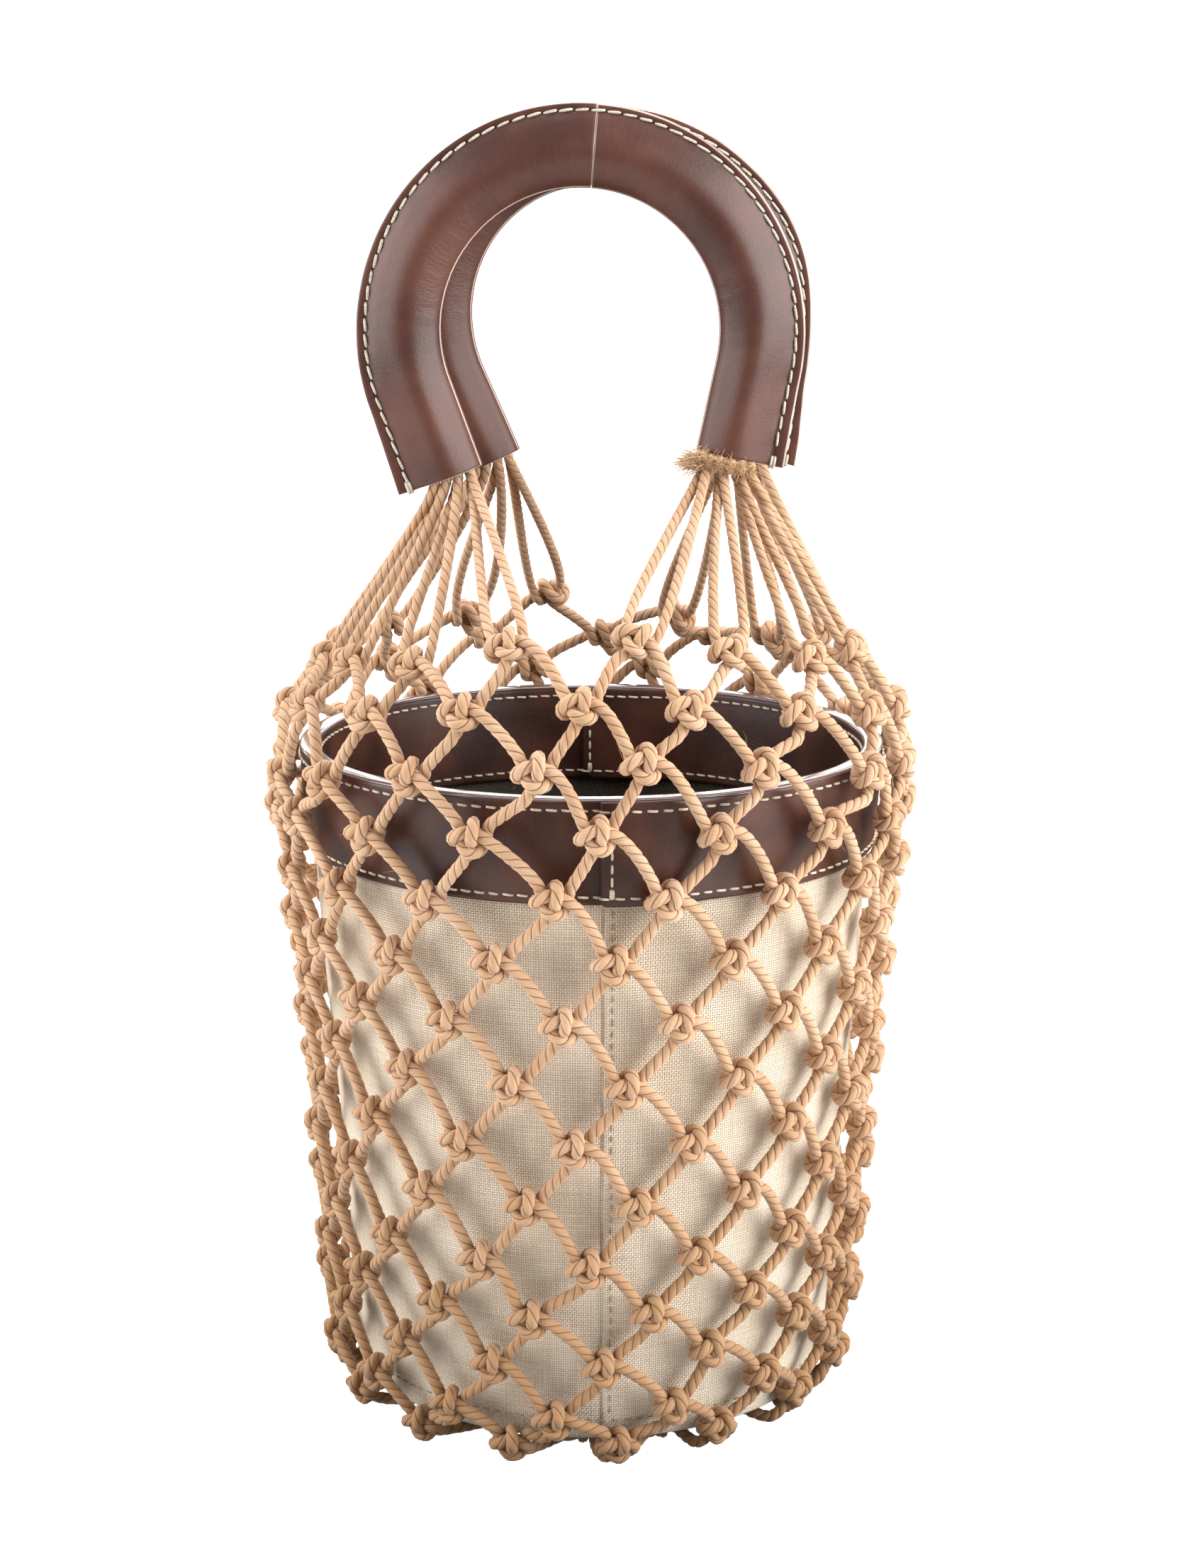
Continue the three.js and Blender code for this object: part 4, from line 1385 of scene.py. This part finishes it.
def rimStitches(strip):
    parts = []

    def sew(points, ahead, length, thicker=1.0):
        out = points * (1, 1, 0) * strip["side"]
        parts.append(stitchPart(points, ahead, out, length, thread["rimThickness"] * thicker))

    along = rim["overlap"] + np.linspace(*thread["rimReach"], thread["rimCount"])
    for height in thread["rimHeights"]:
        points = stripPoint(strip, along, thread["rimDepth"], height)
        ahead = stripPoint(strip, along + 0.2, thread["rimDepth"], height) - points
        ahead[:, 2] += thread["rimSlant"] * np.linalg.norm(ahead, axis=1)
        sew(points, ahead, thread["rimLength"])
    heights = thread["lapHeights"]
    place = 360 + rim["overlap"] - strip["lapOffset"] / rimDegree
    up = np.tile((0.0, 0.0, 1.0), (len(heights), 1))
    sew(stripPoint(strip, np.full(len(heights), place), thread["lapDepth"], heights), up, thread["lapLength"])
    pair = place + np.array([-1, 1]) * thread["footDegrees"]
    foot = stripPoint(strip, pair, thread["footDepth"], np.full(2, thread["footHeight"]))
    sew(foot, up[:2], thread["footLength"], thread["footThicker"])
    return parts


rimParts = [part for strip in strips.values() for part in rimStitches(strip)]
makePiece("rim_stitches", rimParts, [creamMaterial])


# Line of the stitches along a handle's flange.
def flangeLine(handle, along, fromMouth, shift=0.0):
    points, tangent, inward = handleLine(handle, along)
    place = thread["sleevePlace"] - flareAt(fromMouth, thread["sleevePlace"]) + shift
    return points + place[:, None] * inward, tangent, inward


def sleeveStitches(handle):
    whole = handleLength(handle)
    along = np.arange(0, whole, 0.5)
    run = runAlong(flangeLine(handle, along, np.minimum(along, whole - along))[0])
    first, last = thread["sleeveEnds"]
    along = np.interp(np.arange(first, run[-1] - last, thread["sleevePitch"]), run, along)
    points, tangent, inward = flangeLine(handle, along, np.minimum(along, whole - along))
    size = (thread["sleeveLength"], thread["sleeveThickness"], thread["sleeveRise"])
    parts = []
    for face in (-1, 1):
        out = np.tile((0.0, float(face), 0.0), (len(along), 1))
        slant = tangent + thread["sleeveSlant"] * face * inward
        parts.append(stitchPart(points + thread["sleeveDepth"] * out, slant, out, *size))
    run = np.array(thread["loopRun"])
    depth = np.array(thread["loopDepth"])[:, None] * front
    for end, sign in ((0.0, 1), (whole, -1)):
        for shift in thread["loopShifts"]:
            loop = flangeLine(handle, end + sign * run, np.zeros(len(run)), shift)[0] + depth
            parts.append(tubePart(smoothPath(loop, 5), thread["loopGirth"]))
    return parts


for handle in handles:
    makePiece(f"handle_stitches_{handle['name']}", sleeveStitches(handle), [creamMaterial])


def linenStitches():
    size = (thread["linenLength"], thread["linenThickness"])
    low, high = thread["linenEnds"]
    heights = np.arange(floorRoom + low, bandFoot - high, thread["linenPitch"])
    past = thread["linenPlace"] / (math.radians(1) * thread["linenRadius"])
    place = np.full(len(heights), bucket["seam"] + past)
    points = polar(place, wallRadius(heights) + linenRelief(place, heights), heights)
    up = polar(place, wallRadius(heights + 1), heights + 1) - polar(place, wallRadius(heights), heights)
    parts = [stitchPart(points, up, points * (1, 1, 0), *size)]
    count = thread["linenCount"]
    degrees = np.arange(count) * 360 / count
    level = np.full(count, floorRoom + thread["linenFoot"])
    points = polar(degrees, wallRadius(level) + linenRelief(degrees, level), level)
    parts.append(stitchPart(points, polar(degrees + 90, 1.0, 0.0), points * (1, 1, 0), *size))
    return parts


makePiece("linen_stitches", linenStitches(), [linenThreadMaterial])
print("stitches made")


# Hairs: thin curved threads given by root, direction, bend and length.
hair = {
    "taper": [1.0, 0.9, 0.7, 0.35],
    "sides": 3,
    "sheetPlace": 0.16,
}


def hairPart(roots, directions, bends, lengths, girth):
    taper = np.array(hair["taper"]) * girth
    share = np.linspace(0, 1, len(taper))[None, :, None]
    directions = unit(directions)
    course = share * directions[:, None] + share ** 2 * bends[:, None]
    path = roots[:, None] + lengths[:, None, None] * course
    across = unit(np.cross(directions, np.array([0.37, 0.51, 0.77])))
    backs = np.cross(directions, across)
    ring = around(sideAngles(hair["sides"]), across[:, None], backs[:, None])
    return tubesPart(path[:, :, None] + taper[None, :, None, None] * ring[:, None], hair["sheetPlace"])


fray = {
    "lumps": [  # place across the mouth, below it, in front of its middle, radius
        (9.0, 1.9, 6.2, 2.3), (5.9, 2.2, 7.0, 2.2), (2.6, 2.1, 7.6, 2.3), (-0.8, 2.4, 7.7, 2.2),
        (-4.2, 2.2, 7.4, 2.3), (-7.4, 2.1, 6.4, 2.1),
    ],
    "lumpShape": [0.95, 0.8, 1.0],
    "lumpRough": 0.13,
    "lumpHairs": 130,
    "lumpForward": 0.5,  # how far the hairs lean to the front and down
    "lumpDown": 0.35,
    "lumpBend": 0.5,
    "hair": 1.9,
    "brushPlace": (9.0, 2.6, 6.4),  # across, below, in front, as for the lumps
    "brushSpread": [1.0, 0.9, 1.25],
    "brushAim": (1.0, 0.3, 0.15),
    "brushHairs": 170,
    "brushLoose": 0.26,
    "brushBend": 0.16,
    "brushDown": 0.06,
    "brush": 8.2,
    "girth": 0.13,
    "brushGirth": 1.2,  # times the girth of the lumps' hairs
}


# The frayed ends that stick out at the front handle's right mouth.
def frayedEnds():
    point, out, inward = mouthOf(handles[0], "right")
    axes = np.array([inward, out, front])
    levels = np.radians(np.linspace(-80, 80, 9))[:, None]
    turns = np.radians(np.arange(0, 360, 24.0))
    ball = (np.cos(levels) * np.cos(turns), np.cos(levels) * np.sin(turns), np.sin(levels))
    lump = np.stack(np.broadcast_arrays(*ball), -1)
    parts = []
    for *place, radius in fray["lumps"]:
        middle = point + np.array(place) @ axes
        rough = 1 + fray["lumpRough"] * draw.standard_normal(lump.shape[:2])[..., None]
        grid = middle + radius * rough * lump * np.array(fray["lumpShape"])
        part = gridPart(grid, evenSheet(grid, hair["sheetPlace"]), wrapColumns=True)
        closeEnds(part, *grid.shape[:2])
        parts.append(part)
        lean = fray["lumpForward"] * front + fray["lumpDown"] * out
        aim = unit(draw.standard_normal((fray["lumpHairs"], 3)) + lean)
        sizes = draw.uniform(0.4, 1.0, fray["lumpHairs"]) * fray["hair"]
        bend = fray["lumpBend"] * draw.standard_normal(aim.shape)
        parts.append(hairPart(middle + aim * radius * 0.8, aim, bend, sizes + 0.3, fray["girth"]))
    count = fray["brushHairs"]
    root = point + np.array(fray["brushPlace"]) @ axes
    root = root + draw.standard_normal((count, 3)) * np.array(fray["brushSpread"])
    aim = np.array(fray["brushAim"]) @ axes + fray["brushLoose"] * draw.standard_normal((count, 3))
    sizes = draw.uniform(0.45, 1.0, count) * fray["brush"]
    bend = fray["brushBend"] * draw.standard_normal((count, 3)) + fray["brushDown"] * out
    parts.append(hairPart(root, aim, bend, sizes, fray["girth"] * fray["brushGirth"]))
    return parts


makePiece("frayed_ends", frayedEnds(), [frayMaterial], ["cords_front_right"])

fibres = {
    "count": 1500,
    "short": 0.8,
    "long": 4.2,
    "girth": 0.055,
    "slant": 1.4,
    "bend": 0.55,
    "root": 0.45,  # distance from the cord's middle, in diameters
    "fewLong": 2.5,  # the higher, the fewer long ones
    "clear": 8.0,  # below this height no fibre points down
}


def strayFibres():
    count = fibres["count"]
    lengths = np.array([len(path) for path in cordPaths], float)
    picks = draw.choice(len(cordPaths), count, p=lengths / lengths.sum())
    roots, aims = [], []
    for pick in picks:
        path = cordPaths[pick]
        at = int(draw.integers(2, len(path) - 2))
        along = unit(path[at + 1] - path[at - 1])
        side = unit(np.cross(along, draw.standard_normal(3)))
        roots.append(path[at] + side * rope["diameter"] * fibres["root"])
        aims.append(side + draw.uniform(-fibres["slant"], fibres["slant"]) * along)
    longer = draw.uniform(0, 1, count) ** fibres["fewLong"]
    sizes = fibres["short"] + (fibres["long"] - fibres["short"]) * longer
    bends = fibres["bend"] * draw.standard_normal((count, 3))
    roots, aims = np.array(roots), np.array(aims)
    low = roots[:, 2] < fibres["clear"]
    for directions in (aims, bends):
        directions[low, 2] = np.abs(directions[low, 2])
    return hairPart(roots, aims, bends, sizes, fibres["girth"])


makePiece("stray_fibres", [strayFibres()], [frayMaterial])
print("fibres made")
